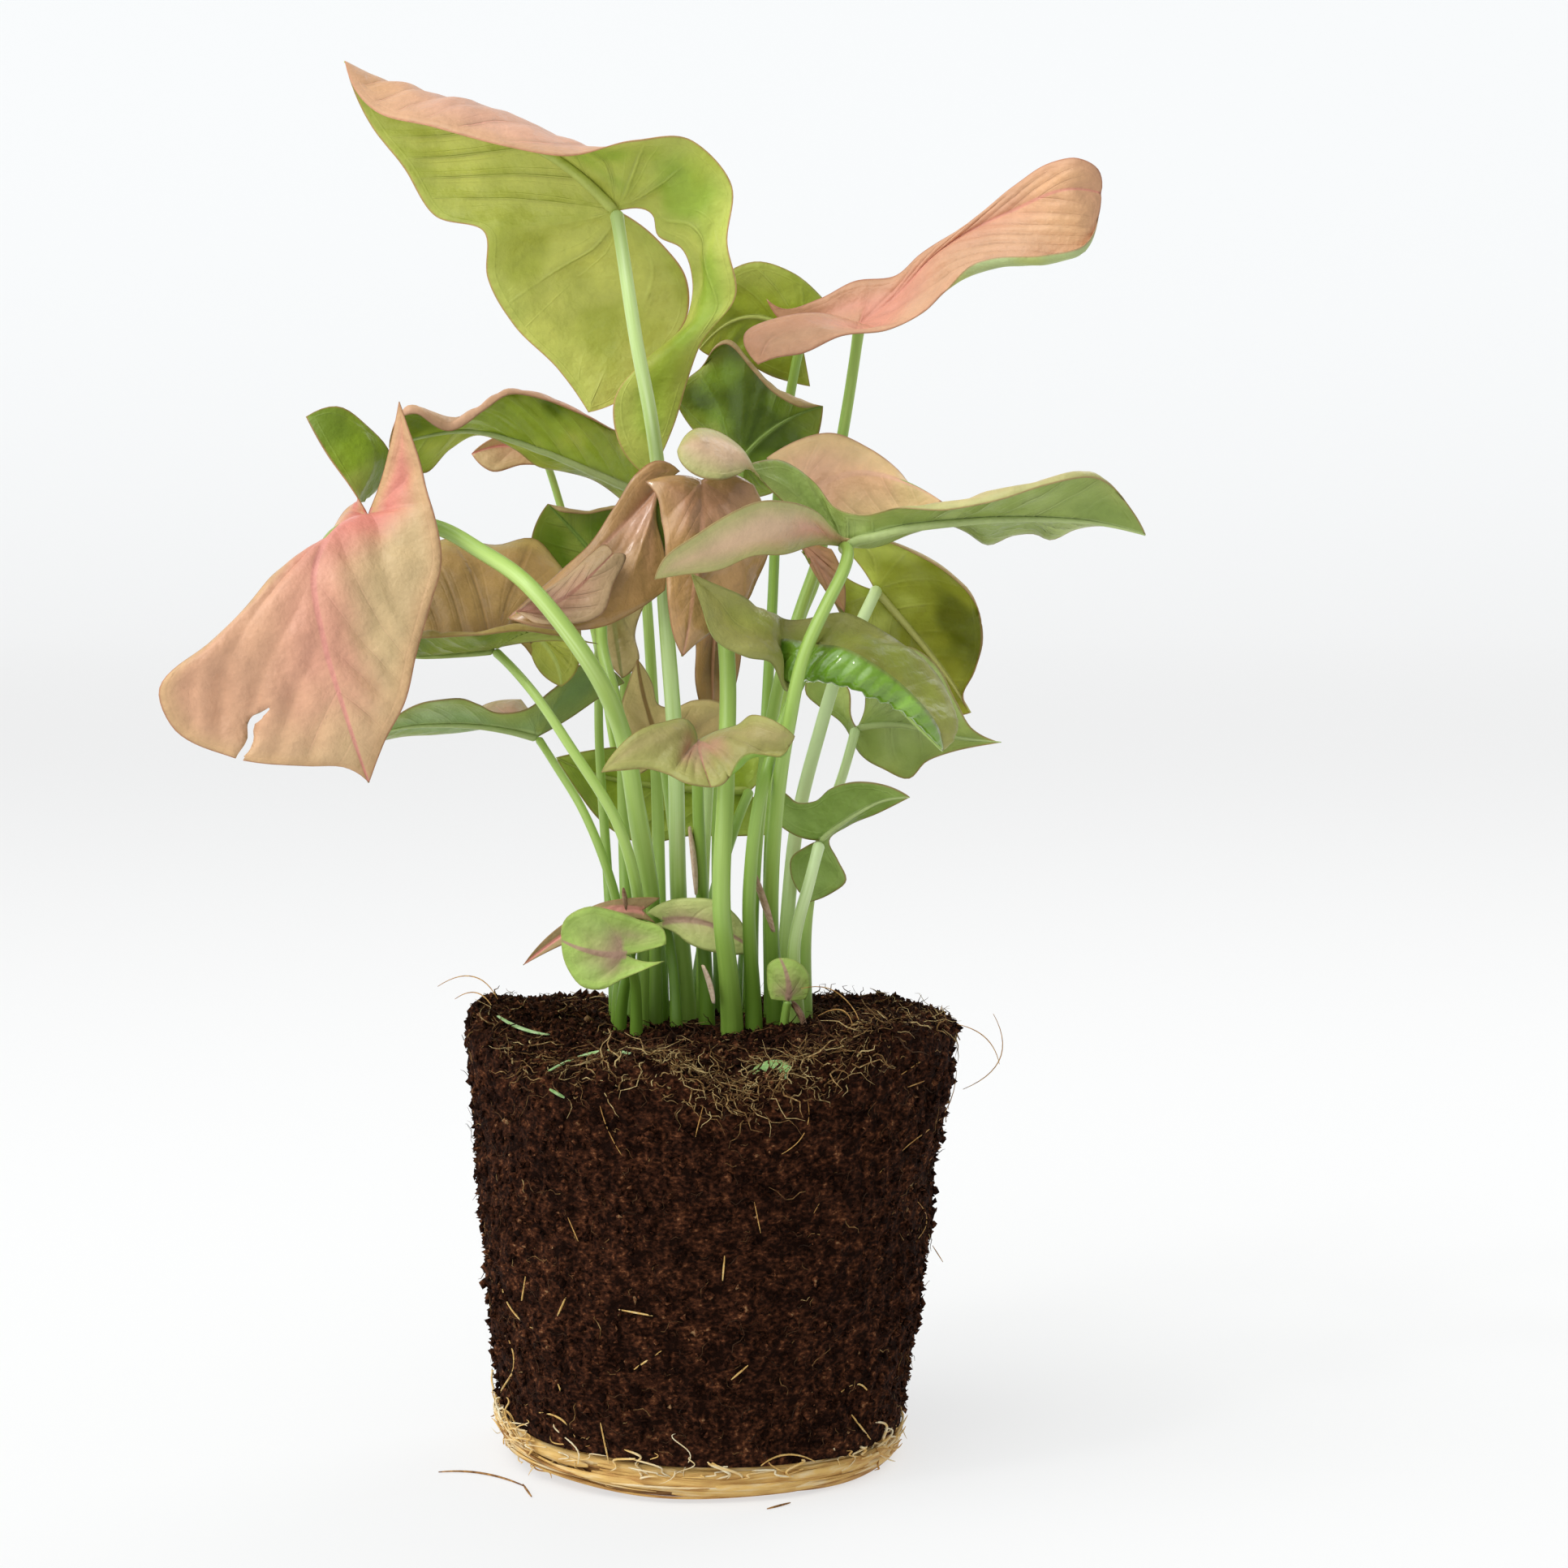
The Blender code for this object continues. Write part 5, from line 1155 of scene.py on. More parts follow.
FOLDED_GREEN = dict(MID_GREEN, under=(0.28, 0.37, 0.03), under_edge=(0.32, 0.38, 0.035),
                    shade=(0.11, 0.18, 0.008), light=(0.56, 0.62, 0.10), patches=0.8)
DEEP_GREEN = dict(MID_GREEN, heart=(0.38, 0.27, 0.12), body=(0.34, 0.23, 0.10), edge=(0.38, 0.27, 0.12),
                  under=(0.12, 0.20, 0.008), under_edge=(0.20, 0.26, 0.025), under_vein=(0.20, 0.30, 0.05),
                  rim=(0.28, 0.15, 0.06), shade=(0.045, 0.08, 0.003), light=(0.30, 0.36, 0.06),
                  patches=0.7)
OLIVE = dict(MID_GREEN, heart=(0.36, 0.21, 0.09), body=(0.34, 0.20, 0.08), under=(0.29, 0.32, 0.025),
             under_edge=(0.35, 0.37, 0.035), under_vein=(0.50, 0.50, 0.15), shade=(0.11, 0.13, 0.004),
             light=(0.52, 0.58, 0.10), patches=0.9)
CURLED = dict(OLIVE, heart=(0.34, 0.30, 0.08), body=(0.31, 0.34, 0.065), edge=(0.35, 0.34, 0.10),
              tip=(0.35, 0.40, 0.08), rib=(0.36, 0.36, 0.12), under=(0.13, 0.28, 0.015),
              under_edge=(0.16, 0.31, 0.02), under_vein=(0.46, 0.62, 0.16), shade=(0.07, 0.19, 0.008),
              light=(0.26, 0.50, 0.05), rim=(0.22, 0.22, 0.06), blotch=0.8)
BLUSH = dict(ROSE, heart=(0.45, 0.28, 0.18), body=(0.33, 0.29, 0.10), edge=(0.35, 0.34, 0.10),
             tip=(0.44, 0.38, 0.12), under=(0.22, 0.38, 0.05), under_edge=(0.22, 0.38, 0.06),
             rib=(0.50, 0.26, 0.18), rim=(0.26, 0.18, 0.06), heart_reach=8.0, blotch=0.9)
YOUNG = dict(ROSE, heart=(0.48, 0.36, 0.20), body=(0.44, 0.54, 0.17), edge=(0.40, 0.56, 0.12),
             tip=(0.44, 0.64, 0.13), under=(0.25, 0.34, 0.08), under_edge=(0.32, 0.48, 0.10),
             rib=(0.46, 0.28, 0.20), rim=(0.34, 0.38, 0.10), heart_reach=7.0, blotch=0.8)

leaf("top", "green",
     rib=[(-18, 5, 291), (-31, 6, 303), (-50, 8, 311), (-66, 8, 317.5), (-80, 5, 325)],
     right=half([(-25, 8, 245), (-32, 8, 255), (-42, 8, 265), (-48, 8, 276), (-48.5, 7, 286),
                 (-60, 9, 290), (-67, 9, 301), (-74, 9, 310), (-78, 7, 318)],
                inner=[(-19, 8, 247), (-8, 8, 258), (-2, 8, 268), (-2.5, 7, 276), (-7.5, 6, 283), (-13, 5.5, 288)],
                bulge=(0.08,)),
     left=half([(-11, 5, 230), (-5, 4, 243), (-2, 4, 253), (1, 3, 261), (9, 2, 272), (7, 2, 284),
                (8, 3, 297), (-1, 3, 307), (-14, -1, 307), (-31, -7, 303.5), (-45, -7, 306),
                (-60, -5, 310), (-73, -1, 313.5)],
               inner=[(-18, 3, 238), (-19, 2.5, 248), (-12, 3.5, 257), (-3, 4.5, 265), (-1, 5, 275),
                      (-3.5, 5, 282.5), (-9, 5, 285.5), (-10, 5, 290)], bulge=(0.05, 0.05, 0.05, 0.3, 0.3)),
     foot=(-3, 1), stalk=[(-17, 1, 282), (-14, -2, 262), (-10.5, -1.5, 243), (-9, 0.5, 232),
                          (-7.5, -4, 200), (-5.5, -6, 172), (-4.5, -3, 130)], thick=(1.5, 2.1),
     look=dict(GOLD_UNDER, other_under=(0.34, 0.46, 0.055)), spacing=12.0, sweep=0.7, puff=1.3,
     folds=1.8, tint=0.78)

leaf("upper_right", "pink",
     rib=[(37, 18, 265), (45, 19, 271), (55, 18, 281.5), (72, 15, 291), (86, 12, 296), (92.5, 13, 295)],
     right=half([(14, 9, 256), (18, 9, 257.5), (24, 9, 258.5), (33, 10, 262.5), (44, 11, 264),
                 (52, 11, 268), (58, 12, 273.5), (68, 11, 277.5), (80, 11, 279.5), (89, 12, 284)],
                inner=[(11, 12, 263), (20, 14, 267), (30, 16, 267.5)],
                bulge=(0.05,), lip=(6.5, 160, 0.5, 0.95)),
     left=half([(16, 20, 271), (19, 20, 269), (28, 21, 271), (36, 21, 275), (46, 20, 276.5),
                (51, 19, 281), (62, 17, 288), (73, 15, 297), (81, 13, 302), (87, 12, 303), (92, 13, 300)],
               inner=[(20, 20, 265.5), (28, 20, 264)], bulge=(0.05,)),
     foot=(12, 13), stalk=[(33.5, 19, 240), (27.5, 18, 210), (24, 17, 200), (19.5, 14, 185),
                           (14, 13, 150)], thick=(1.3, 1.8),
     look=dict(SALMON, under=(0.34, 0.44, 0.14), under_edge=(0.44, 0.52, 0.24)), spacing=9.0, sweep=2.0, puff=0.7, folds=1.6, tint=0.46)

leaf("behind_right", "green",
     rib=[(10, 36, 234), (17, 34, 241), (29, 30, 246.5)],
     right=half([(-6, 40, 250), (0, 38, 254.5), (8, 35, 260), (14, 33, 254), (19, 31, 249.5)],
                inner=[(0, 40, 240)], bulge=(0.05,), lip=(4, -140, 0.2, 1)),
     left=half([(5, 40, 226), (16, 39, 226), (25, 35, 233), (28, 31, 240)], bulge=(0.05,)),
     foot=(5, 14), stalk=[(8, 33, 215), (6, 23, 190), (5, 16, 168), (4.5, 15, 140)], thick=(1.2, 1.6),
     look=dict(DEEP_GREEN, under=(0.15, 0.25, 0.012), vein_strength=1.0), shine=(0.05, 0.3), tint=0.4,
     puff=1.4, folds=1.7)

leaf("behind_top", "green",
     rib=[(24, 45, 262), (12, 45, 267), (0.5, 42, 259.5)],
     right=half([(26, 47, 251), (18, 46, 253), (9, 44, 257), (4, 43, 257.5)], bulge=(0.05,)),
     left=half([(33, 46, 266), (29, 46, 271), (22, 44, 277), (13, 43, 279.5), (7, 42, 277), (2, 42, 268)],
               bulge=(-0.1,)),
     foot=(10, 20), stalk=[(20, 44, 240), (17, 41, 195), (15, 33, 160), (13, 26, 138)], thick=(1.2, 1.6),
     look=LIME, tint=0.2)

leaf("far_left", "pink",
     rib=[(-76, -8, 221.5), (-84, -13, 218), (-88.5, -17, 209), (-86.5, -20, 192), (-82, -20, 176),
          (-76.5, -17, 159)],
     right=half([(-90, -6, 244), (-83, -6, 246.5), (-76, -4, 242), (-71, -2, 234), (-74, -2, 227),
                 (-80, -5, 222.5), (-89, -12, 213.5), (-100, -18, 204.5), (-113, -21, 192),
                 (-125, -22, 180), (-122, -22, 172), (-108, -22, 165), (-91, -21, 163),
                 (-81.5, -19, 162.5)],
                inner=[(-85, -8, 235), (-80, -9, 228)],
                bulge=(0, 0, 0.06, 0.08, 0.05), ripple=(1.2, 5, 0), share=0.27),
     left=half([(-68.5, -10, 247.5), (-66, -11, 240), (-63, -11, 230), (-60.5, -12, 221), (-59, -13, 211),
                (-62, -15, 200), (-65, -17, 189), (-68, -18, 178), (-73, -18, 168)],
               inner=[(-70.5, -9, 238), (-73, -8, 229)], bulge=(0.05, 0.08, 0.08), ripple=(0.8, 4, 0.2)),
     foot=(-11, -4), stalk=[(-60, -7, 218.5), (-50, -10, 213), (-38, -17, 204), (-27, -18, 190),
                            (-18, -11.5, 172), (-14, -8, 150), (-11, -5, 128)], thick=(1.7, 2.4),
     look=dict(ROSE, vein_strength=0.32, heart=(0.73, 0.36, 0.245), body=(0.69, 0.385, 0.235),
               other_body=(0.61, 0.44, 0.23), edge=(0.62, 0.39, 0.20), joint=(0.66, 0.22, 0.18),
               edge_reach=6.0),
     spacing=13.0, sweep=1.2, puff=1.0, folds=2.2, tint=0.58,
     tear=[(-98.6, 177.2), (-101, 175), (-103.8, 172.5), (-104, 169), (-106.6, 164.5), (-108, 161)])

leaf("upper_left", "green",
     rib=[(-14, 18, 227), (-24, 14, 231.5), (-36, 11, 236.5), (-50, 8, 241), (-61, 5, 240),
          (-71, 4, 237)],
     right=half([(-12, 24, 219), (-18, 20, 225.3), (-24, 17, 229.5), (-31, 14, 231.5), (-37, 12, 232.7),
                 (-42, 11, 236.5), (-51, 9, 239.8), (-57, 7, 236.5), (-63, 5, 231)], bulge=(0.1,)),
     left=half([(-8, 19, 236), (-14, 17, 240), (-20, 14, 241), (-28, 11, 245), (-36, 9, 248.3),
                (-44, 7, 249.5), (-50, 5, 246.5), (-57, 3, 243), (-65, 1, 246.5)],
               bulge=(0.05,), ripple=(1, 3, 0.1), lip=(3.5, -150, 0.15, 0.97)),
     foot=(-9, 10), stalk=[(-12, 18, 205), (-10, 16, 170), (-9, 12, 130)], thick=(1.2, 1.7),
     look=dict(FOLDED_GREEN, under=(0.37, 0.49, 0.045), shade=(0.13, 0.21, 0.01),
               edge=(0.60, 0.34, 0.21)), shine=(0.05, 0.3),
     tint=0.6, puff=1.2, folds=1.5)

leaf("left_sprig", "pink",
     rib=[(-36, 17, 236), (-44, 16, 237.5), (-52, 15, 235.5)],
     right=half([(-32, 17, 239), (-39, 16.5, 240), (-46, 15, 239.5)], bulge=(0.05,)),
     left=half([(-32, 16.5, 232), (-40, 15.5, 233), (-47.5, 14.5, 231.5)], bulge=(0.05,)),
     foot=(-9, 19), stalk=[(-34.5, 22, 233), (-30, 24, 218), (-24, 27, 195), (-18, 27, 160),
                           (-12, 24, 138)], thick=(0.9, 1.2),
     look=SPRIG)

leaf("behind_left", "green",
     rib=[(-20, 13, 207), (-28, 12, 217), (-34.5, 11, 224)],
     right=half([(-24, 12, 198), (-34, 12, 205), (-38.5, 11.5, 214), (-37, 11, 220)], bulge=(0.05,)),
     left=half([(-12, 14, 212), (-18, 13, 222), (-27, 12, 221.3), (-31, 11, 222.6)],
               bulge=(0.05,), lip=(3, -140, 0.3, 1)),
     foot=(-16, 6), stalk=[(-17, 13.5, 195), (-17.5, 13, 170), (-17, 9, 135)], thick=(1.2, 1.6),
     look=DEEP_GREEN, puff=1.2)

leaf("centre_left", "pink",
     rib=[(-9, -5, 228), (-18, -7, 218), (-30, -10, 207), (-44, -12, 197.5)],
     right=half([(-4, -4, 231.5), (-9, -5, 234), (-14, -6, 231), (-19, -6.5, 223.5), (-26, -8, 213.5),
                 (-32, -9, 208), (-38, -10.5, 203)], bulge=(0.1,), ripple=(0.6, 3, 0.3)),
     left=half([(-7.5, -8, 204), (-14, -9.5, 199.3), (-20, -12, 196.3), (-27, -13.5, 194.5),
                (-36, -13.5, 195.3)],
               inner=[(-7.5, -7, 212), (-9.5, -6, 221)], bulge=(0.1,), ripple=(0.6, 2, 0)),
     foot=(-9, 4), stalk=[(-15, -2, 220), (-21, 0.5, 206), (-22.3, 1, 193), (-19.5, -2, 180),
                          (-15, -2.5, 160), (-10.5, 1, 132)], thick=(1.3, 1.7),
     look=COPPER, sweep=0.8, puff=0.3, folds=1.8, shine=(0.5, 0.1))

leaf("centre_hanging", "pink",
     rib=[(1, -7, 229.5), (1, -10, 219), (-1, -12, 203), (-3.5, -12, 188.5)],
     right=half([(-12, -9, 229), (-9.5, -10, 226), (-8, -11, 219), (-7.3, -12, 209), (-6.7, -12.5, 199),
                 (-5.5, -12.5, 193)],
                inner=[(-6, -8.5, 230.5)], bulge=(0.12,), ripple=(0.5, 3, 0.1)),
     left=half([(13, -6, 228), (16.5, -8, 214), (14, -8, 206), (9, -9.5, 199), (3, -11, 194),
                (-0.5, -11.5, 191.5)],
               inner=[(7, -6.5, 231)], bulge=(0.12,), ripple=(1, 3, 0.4)),
     foot=(8, -15), stalk=[(3, -2, 214), (6.5, -3, 192), (6.5, -9, 160), (5.5, -18, 128), (7, -18, 114)],
     thick=(1.8, 2.3),
     look=dict(COPPER, heart=(0.28, 0.145, 0.05)), sweep=0.8, puff=0.3, folds=2.2, shine=(0.8, 0.1),
     tint=0.55)

leaf("striped", "pink",
     rib=[(-47, -4, 190.5), (-56, -4, 189.5), (-66, -2, 189), (-78, 2, 192)],
     right=half([(-32, 3, 183.5), (-28, 4, 188), (-27, 5, 197), (-31, 7, 209), (-37, 8, 215.5),
                 (-45, 8, 214.5), (-54, 8, 216), (-66, 7, 212)],
                inner=[(-37, 1, 187), (-42, -2, 192)], bulge=(0.05,), ripple=(0.8, 5, 0)),
     left=half([(-23, -6, 191.5), (-30, -6.5, 193.2), (-40, -8, 195.5), (-50, -10, 195), (-60, -9, 194.3),
                (-70, -4, 193.5)],
               inner=[(-35, -6, 192.2)], bulge=(-0.1,), lip=(3, -120, 0.05, 0.98)),
     foot=(-13, -10), stalk=[(-38, -8, 180), (-29, -10, 166.5), (-19, -11, 150), (-13.5, -11, 128)],
     thick=(1, 1.6),
     look=dict(TAN, vein_strength=1.0), spacing=6.0, sweep=0.3, puff=3.8, folds=2.2, tint=0.55,
     flat_rim=3.5)

leaf("right_long", "green",
     rib=[(34, -3, 214), (44, -5, 218.3), (60, -7, 220.6), (80, -8, 221), (95, -7, 219.3),
          (103.5, -7, 217)],
     right=half([(-4.5, -10, 236), (-2.5, -11.5, 232), (1, -12, 230), (5, -12, 229.5), (9, -10, 230.5),
                 (13, -6, 233.5), (20, -3, 233.8), (27, -3, 229), (32, -4, 223), (37, -5, 221.5), (46, -8, 223),
                 (57, -10, 224.2), (70, -12, 226.7), (80, -12, 229.5), (89.5, -11, 230.6),
                 (96, -9, 227.5), (100.3, -8, 222.5)],
                inner=[(-1, -8, 241), (5, -6, 240.5), (10, -6, 237), (14.5, -6, 230), (21, -5, 223.5),
                       (28, -4, 218.5)], bulge=(0.1, 0, 0, 0, 0, 0), lip=(4, -120, 0.5, 0.93), share=0.36),
     left=half([(-10, -19, 206.5), (-8, -20, 211), (0, -20, 217), (8, -19, 222), (14, -17, 224.5),
                (21, -14, 224.5), (27, -10, 222.5), (31, -6, 218.5), (36, 0, 214), (42, 3, 214.2),
                (50, 5, 217.3), (58, 5, 219), (62, 6, 217.5), (67, 7, 214.5), (73, 6, 216.7),
                (78, 6, 217), (81, 5, 215.7), (87, 3, 218), (95, -2, 218.8)],
               inner=[(-4, -18, 207.5), (5, -17, 208.7), (12, -15, 211.7), (20, -11, 212.3),
                      (28, -6, 214.5)], bulge=(0.1, 0.1, 0, 0), share=0.38),
     foot=(18, -6), stalk=[(33.5, -10.5, 208), (29.5, -12.5, 200), (25, -14, 190), (21, -14, 172),
                           (18, -11, 150), (17, -8, 128)], thick=(1.4, 1.9),
     look=dict(MID_GREEN, heart=(0.66, 0.44, 0.27), body=(0.72, 0.50, 0.32), edge=(0.46, 0.44, 0.17),
               heart_reach=12.0, edge_reach=6.5, vein_strength=1.0),
     sweep=0.8, puff=1.5, folds=1.5, tint=0.42)

leaf("right_blush", "pink",
     rib=[(24, 14, 226), (36, 12, 231), (48, 9, 229), (56.5, 7, 224.5)],
     right=half([(18, 17, 217), (30, 14, 216), (42, 11, 219), (50, 8, 221.5)], bulge=(0.05,)),
     left=half([(16, 18, 234.5), (22, 17, 238), (31, 15, 240.4), (40, 13, 236.5), (46, 11, 232),
                (51, 9, 226.5)], bulge=(0.1,), ripple=(0.5, 2, 0)),
     foot=(17, 10), stalk=[(24.5, 24, 219), (27.5, 25.5, 208), (24, 24, 198), (20, 21, 180),
                           (17, 17, 150), (16.5, 13, 130)], thick=(1.2, 1.6),
     look=BLUSH_TAN, puff=0.6, folds=1.8)

leaf("right_round", "green",
     rib=[(41, 15, 204), (50, 16, 194), (58, 16, 184), (63.5, 15, 175.5)],
     right=half([(34, 15, 213.5), (42, 14, 215), (50, 13, 212.3), (58, 13, 207.5), (65, 13, 199),
                 (66, 13, 192.5), (64, 14, 185), (61.5, 15, 178)],
                inner=[(38, 15, 209)], bulge=(0.1,), ripple=(0.5, 4, 0), lip=(3, -120, 0, 0.6)),
     left=half([(24, 9, 213), (28, 10, 207.5), (32, 11, 200.5), (36, 13, 193), (42, 15, 187),
                (50, 16, 180), (57, 16, 175)],
               inner=[(30, 11, 210), (36, 13, 206)], bulge=(0.1,)),
     foot=(20, 3), stalk=[(38.5, 8, 198), (32.5, 5, 185), (28, 4.5, 170), (23.5, 4, 152), (21, 3.5, 130)],
     thick=(1.4, 1.9),
     look=OLIVE, puff=1.3, shine=(0.05, 0.3), tint=0.98, folds=1.5)

leaf("curled", "green",
     rib=[(24, -6, 184.5), (29, -9, 184.8), (38, -11, 182.5), (46, -11, 178), (52, -10, 172),
          (57, -8, 166.5)],
     right=half([(15, -6, 192), (20, -8, 192.7), (27, -11, 191.5), (34, -13, 190.6), (40, -14, 187.5),
                 (46, -14, 183.3), (52, -13, 177.5), (56, -10, 171.5)],
                inner=[(20, -6.5, 188)], bulge=(-0.9,)),
     left=half([(-1.5, -16, 208), (5, -15, 205), (11, -12.5, 202.5), (16, -6, 198.5), (24, 0, 197.7),
                (33, 1, 198.2), (40, 0, 196), (46, -1, 193.3), (52, -2, 188), (57, -3, 181),
                (60, -5, 174)],
               inner=[(1, -17, 200), (4, -17, 192.5), (11, -16, 188.5), (17, -13, 187),
                      (20.5, -11, 180.5), (23, -8.5, 183)], bulge=(0.1,), ripple=(1, 4, 0)),
     foot=(13, -13), stalk=[(20, -8.5, 174), (14.3, -14, 155), (12, -15.5, 135)], thick=(1.3, 1.8),
     look=CURLED, spacing=3.4, sweep=0.1, puff=5.0, left_puff=0.3, folds=3.2, flat_rim=1.5,
     shine=(0.05, 1.0), tint=0.3)

leaf("lower_right", "green",
     rib=[(37, 5, 172), (47, 4, 172.5), (58, 2, 170), (70.5, 0, 168.5)],
     right=half([(41, 8, 188), (48, 7, 191), (55, 5, 187), (60, 3, 178), (64, 1, 171.5)],
                inner=[(39, 7, 181), (38.5, 6, 175.5)], bulge=(0.1,)),
     left=half([(30, 11, 186), (25.5, 11, 184), (25, 11, 180), (28, 10.5, 177), (33, 9.5, 173.5),
                (38, 7, 165.5), (43, 4, 162.3), (49, 3, 160), (53, 2, 164), (58, 1.5, 166),
                (64, 0.5, 167.5)],
               inner=[(35, 10, 181), (35.5, 8, 175)], bulge=(0.08,)),
     foot=(25, -2), stalk=[(34, 3.5, 162), (29, 4, 147), (25.5, 1.5, 128)], thick=(1.1, 1.5),
     look=dict(MID_GREEN, under=(0.36, 0.46, 0.12), under_edge=(0.40, 0.48, 0.12)), tint=0.8)

leaf("centre_low", "blush",
     rib=[(0, -13, 169), (1, -18, 164), (3, -22, 158)],
     right=half([(-22.5, -18, 161.5), (-17, -19, 162), (-12, -19.5, 162.3), (-7, -20.5, 161),
                 (-3, -22, 159)],
                inner=[(-20, -18, 165.5), (-15, -17.5, 170.5), (-8, -15, 173.3), (-2, -13, 173.5)],
                bulge=(0.2,)),
     left=half([(22.5, -20, 170), (21, -20, 167.5), (16, -20, 166.5), (12, -20, 165), (8, -21, 161.5),
                (6, -22, 158.8)],
               inner=[(18, -20, 173.5), (13, -18, 175), (9, -15, 172.5), (4, -13, 171)],
               bulge=(0.2,), lip=(4, 130, 0.1, 0.8)),
     foot=(2, -4), stalk=[(0, -9, 155), (1, -5.5, 130)], thick=(1.3, 1.7),
     look=BLUSH, folds=1.6, tint=0.3)

leaf("upright", "blush",
     rib=[(-8, 2, 166), (-12, 2, 177), (-14, 2, 188)],
     right=half([(8, 4, 170), (5, 3, 178), (-1, 3, 178.4), (-6, 3, 176.5), (-9.3, 3, 177.5),
                 (-10.5, 3, 182)],
                inner=[(0, 4, 167)], bulge=(0.05,)),
     left=half([(-17, 1, 160), (-18, 1, 168), (-18.3, 1, 175), (-16.3, 2, 182)],
               inner=[(-12, 2, 162)], bulge=(0.05,)),
     foot=(-4, 9), stalk=[(-6, 4, 150), (-4, 7, 130)], thick=(1.2, 1.6),
     # Painted light: these colours are much paler than TAN's, so the blade reads bright where the leaves above shade
     # it.
     look=dict(TAN, body=(0.70, 0.48, 0.23), heart=(0.70, 0.50, 0.24), edge=(0.66, 0.50, 0.22)),
     tint=0.4)

leaf("brown_strip", "pink",
     rib=[(5, 9, 202), (3.5, 8, 190), (4, 6, 171)],
     right=half([(-2, 8, 200), (-0.5, 7, 192), (-0.5, 6, 182), (1, 6, 176)], bulge=(0.1,)),
     left=half([(10, 8, 198), (10, 8, 188), (7.5, 7, 178)], bulge=(0.1,)),
     foot=(1, 7), stalk=[(5, 12, 190), (2.5, 11.5, 160), (1, 8.5, 130)], thick=(1.2, 1.6),
     look=dict(COPPER, body=(0.17, 0.09, 0.025), heart=(0.14, 0.08, 0.02)), shine=(0.5, 0.1), tint=0.75)

leaf("dark_flap", "green",
     rib=[(-20, 8, 202), (-19, 7, 194), (-17.5, 5, 183.5)],
     right=half([(-26, 8, 203), (-23, 7, 196), (-21, 6, 188)], bulge=(0.05,)),
     left=half([(-12, 9, 201), (-14.5, 8, 194), (-13.8, 6, 187)], bulge=(0.05,)),
     foot=(-20, 11), stalk=[(-22.5, 12, 194), (-23, 14, 175), (-21, 13, 135)], thick=(1, 1.3),
     look=dict(OLIVE, heart=(0.24, 0.18, 0.05), body=(0.22, 0.20, 0.05), rib=(0.26, 0.24, 0.08)))

leaf("low_left", "green",
     rib=[(-37, 3, 170), (-45, 2, 172), (-58, 0, 173), (-72, -2, 171.5), (-80, -3, 168)],
     right=half([(-41, 12, 178.5), (-50, 11, 177), (-53, 8, 172.5), (-58, 6, 170.8), (-68, 3, 170),
                 (-76, -1, 168.5)],
                inner=[(-38, 8, 174)], bulge=(0.05,)),
     left=half([(-17, 8, 182.5), (-21, 6, 186), (-27, 4, 187), (-33, 3, 181), (-40, 1, 176.5),
                (-47, 0, 175.5), (-51, -2, 177), (-55, -3, 179), (-62, -4, 178.3), (-70, -4, 174.5)],
               inner=[(-22, 8, 179.5), (-30, 6, 174)], bulge=(0.05,), ripple=(0.6, 4, 0)),
     foot=(-19, -2), stalk=[(-33, 0, 163), (-27, -3, 153), (-22, -4, 141), (-18.5, -3, 128)],
     thick=(0.9, 1.3),
     look=dict(MID_GREEN, under=(0.29, 0.41, 0.15), shade=(0.20, 0.30, 0.10), light=(0.42, 0.52, 0.24)),
     tint=0.5)

leaf("behind_stems", "green",
     rib=[(12, 24, 157), (-8, 23, 158), (-24, 20, 161), (-33, 17, 165)],
     right=half([(19, 25, 147), (8, 25, 146.5), (-2, 24, 146.5), (-14, 22, 145), (-22, 20, 149.5),
                 (-28, 18, 157)], bulge=(0.05,)),
     left=half([(20, 25, 165), (12, 24, 167), (0, 23, 170), (-15, 21, 168), (-26, 18, 166.5)],
               bulge=(0.05,)),
     foot=(-1, 18), stalk=[(8, 19.5, 147), (3, 18.5, 130)], thick=(1.2, 1.6),
     look=dict(LIME, under=(0.40, 0.50, 0.05), under_edge=(0.50, 0.60, 0.12), shade=(0.22, 0.30, 0.02)),
     tint=0.3)

leaf("right_low", "green",
     rib=[(28.5, -3, 145.5), (36, -5, 151.5), (43, -6, 155), (49.3, -7, 155.7)],
     right=half([(18, -1, 158), (20.5, -1, 156.5), (23, -2, 154.5), (27, -3, 154.7), (31, -5, 157.8),
                 (38, -7, 159.3), (45, -7, 158)],
                inner=[(18.3, -1, 150), (22, -2, 147)], bulge=(0.05,)),
     left=half([(26, 0, 131), (31, -1, 133), (34.5, -2, 136), (32.5, -2, 141), (30.5, -2, 145.5),
                (35, -3, 149), (42, -5, 152)],
               inner=[(22, 0, 136), (21.5, 0, 141), (25, -1.5, 144)], bulge=(0.05,)),
     foot=(23, -9), stalk=[(26, -7, 136), (22.5, -9, 122)], thick=(1.3, 1.7),
     look=dict(FOLDED_GREEN, under=(0.42, 0.58, 0.16), shade=(0.22, 0.33, 0.06),
               under_edge=(0.30, 0.42, 0.10)),
     tint=0.98)

leaf("low_round", "blush",
     rib=[(-17, -27, 118.5), (-24, -29, 119), (-32, -28, 122)],
     right=half([(-7.5, -25, 121), (-8.5, -24, 125), (-13, -24, 126.5), (-20, -25, 129),
                 (-26, -26, 129.8), (-31, -27, 127)],
                inner=[(-12, -26, 119.5)], bulge=(-0.1,)),
     left=half([(-8, -27, 117), (-13, -29, 114.8), (-18, -30, 112.6), (-23, -31, 110.2),
                (-27, -31, 110.8), (-30.5, -30, 115)],
               inner=[(-13, -27, 117)], bulge=(-0.1,)),
     foot=(-14, -18), stalk=[(-15, -21, 113)], thick=(1, 1.4),
     look=YOUNG, tint=0.3)

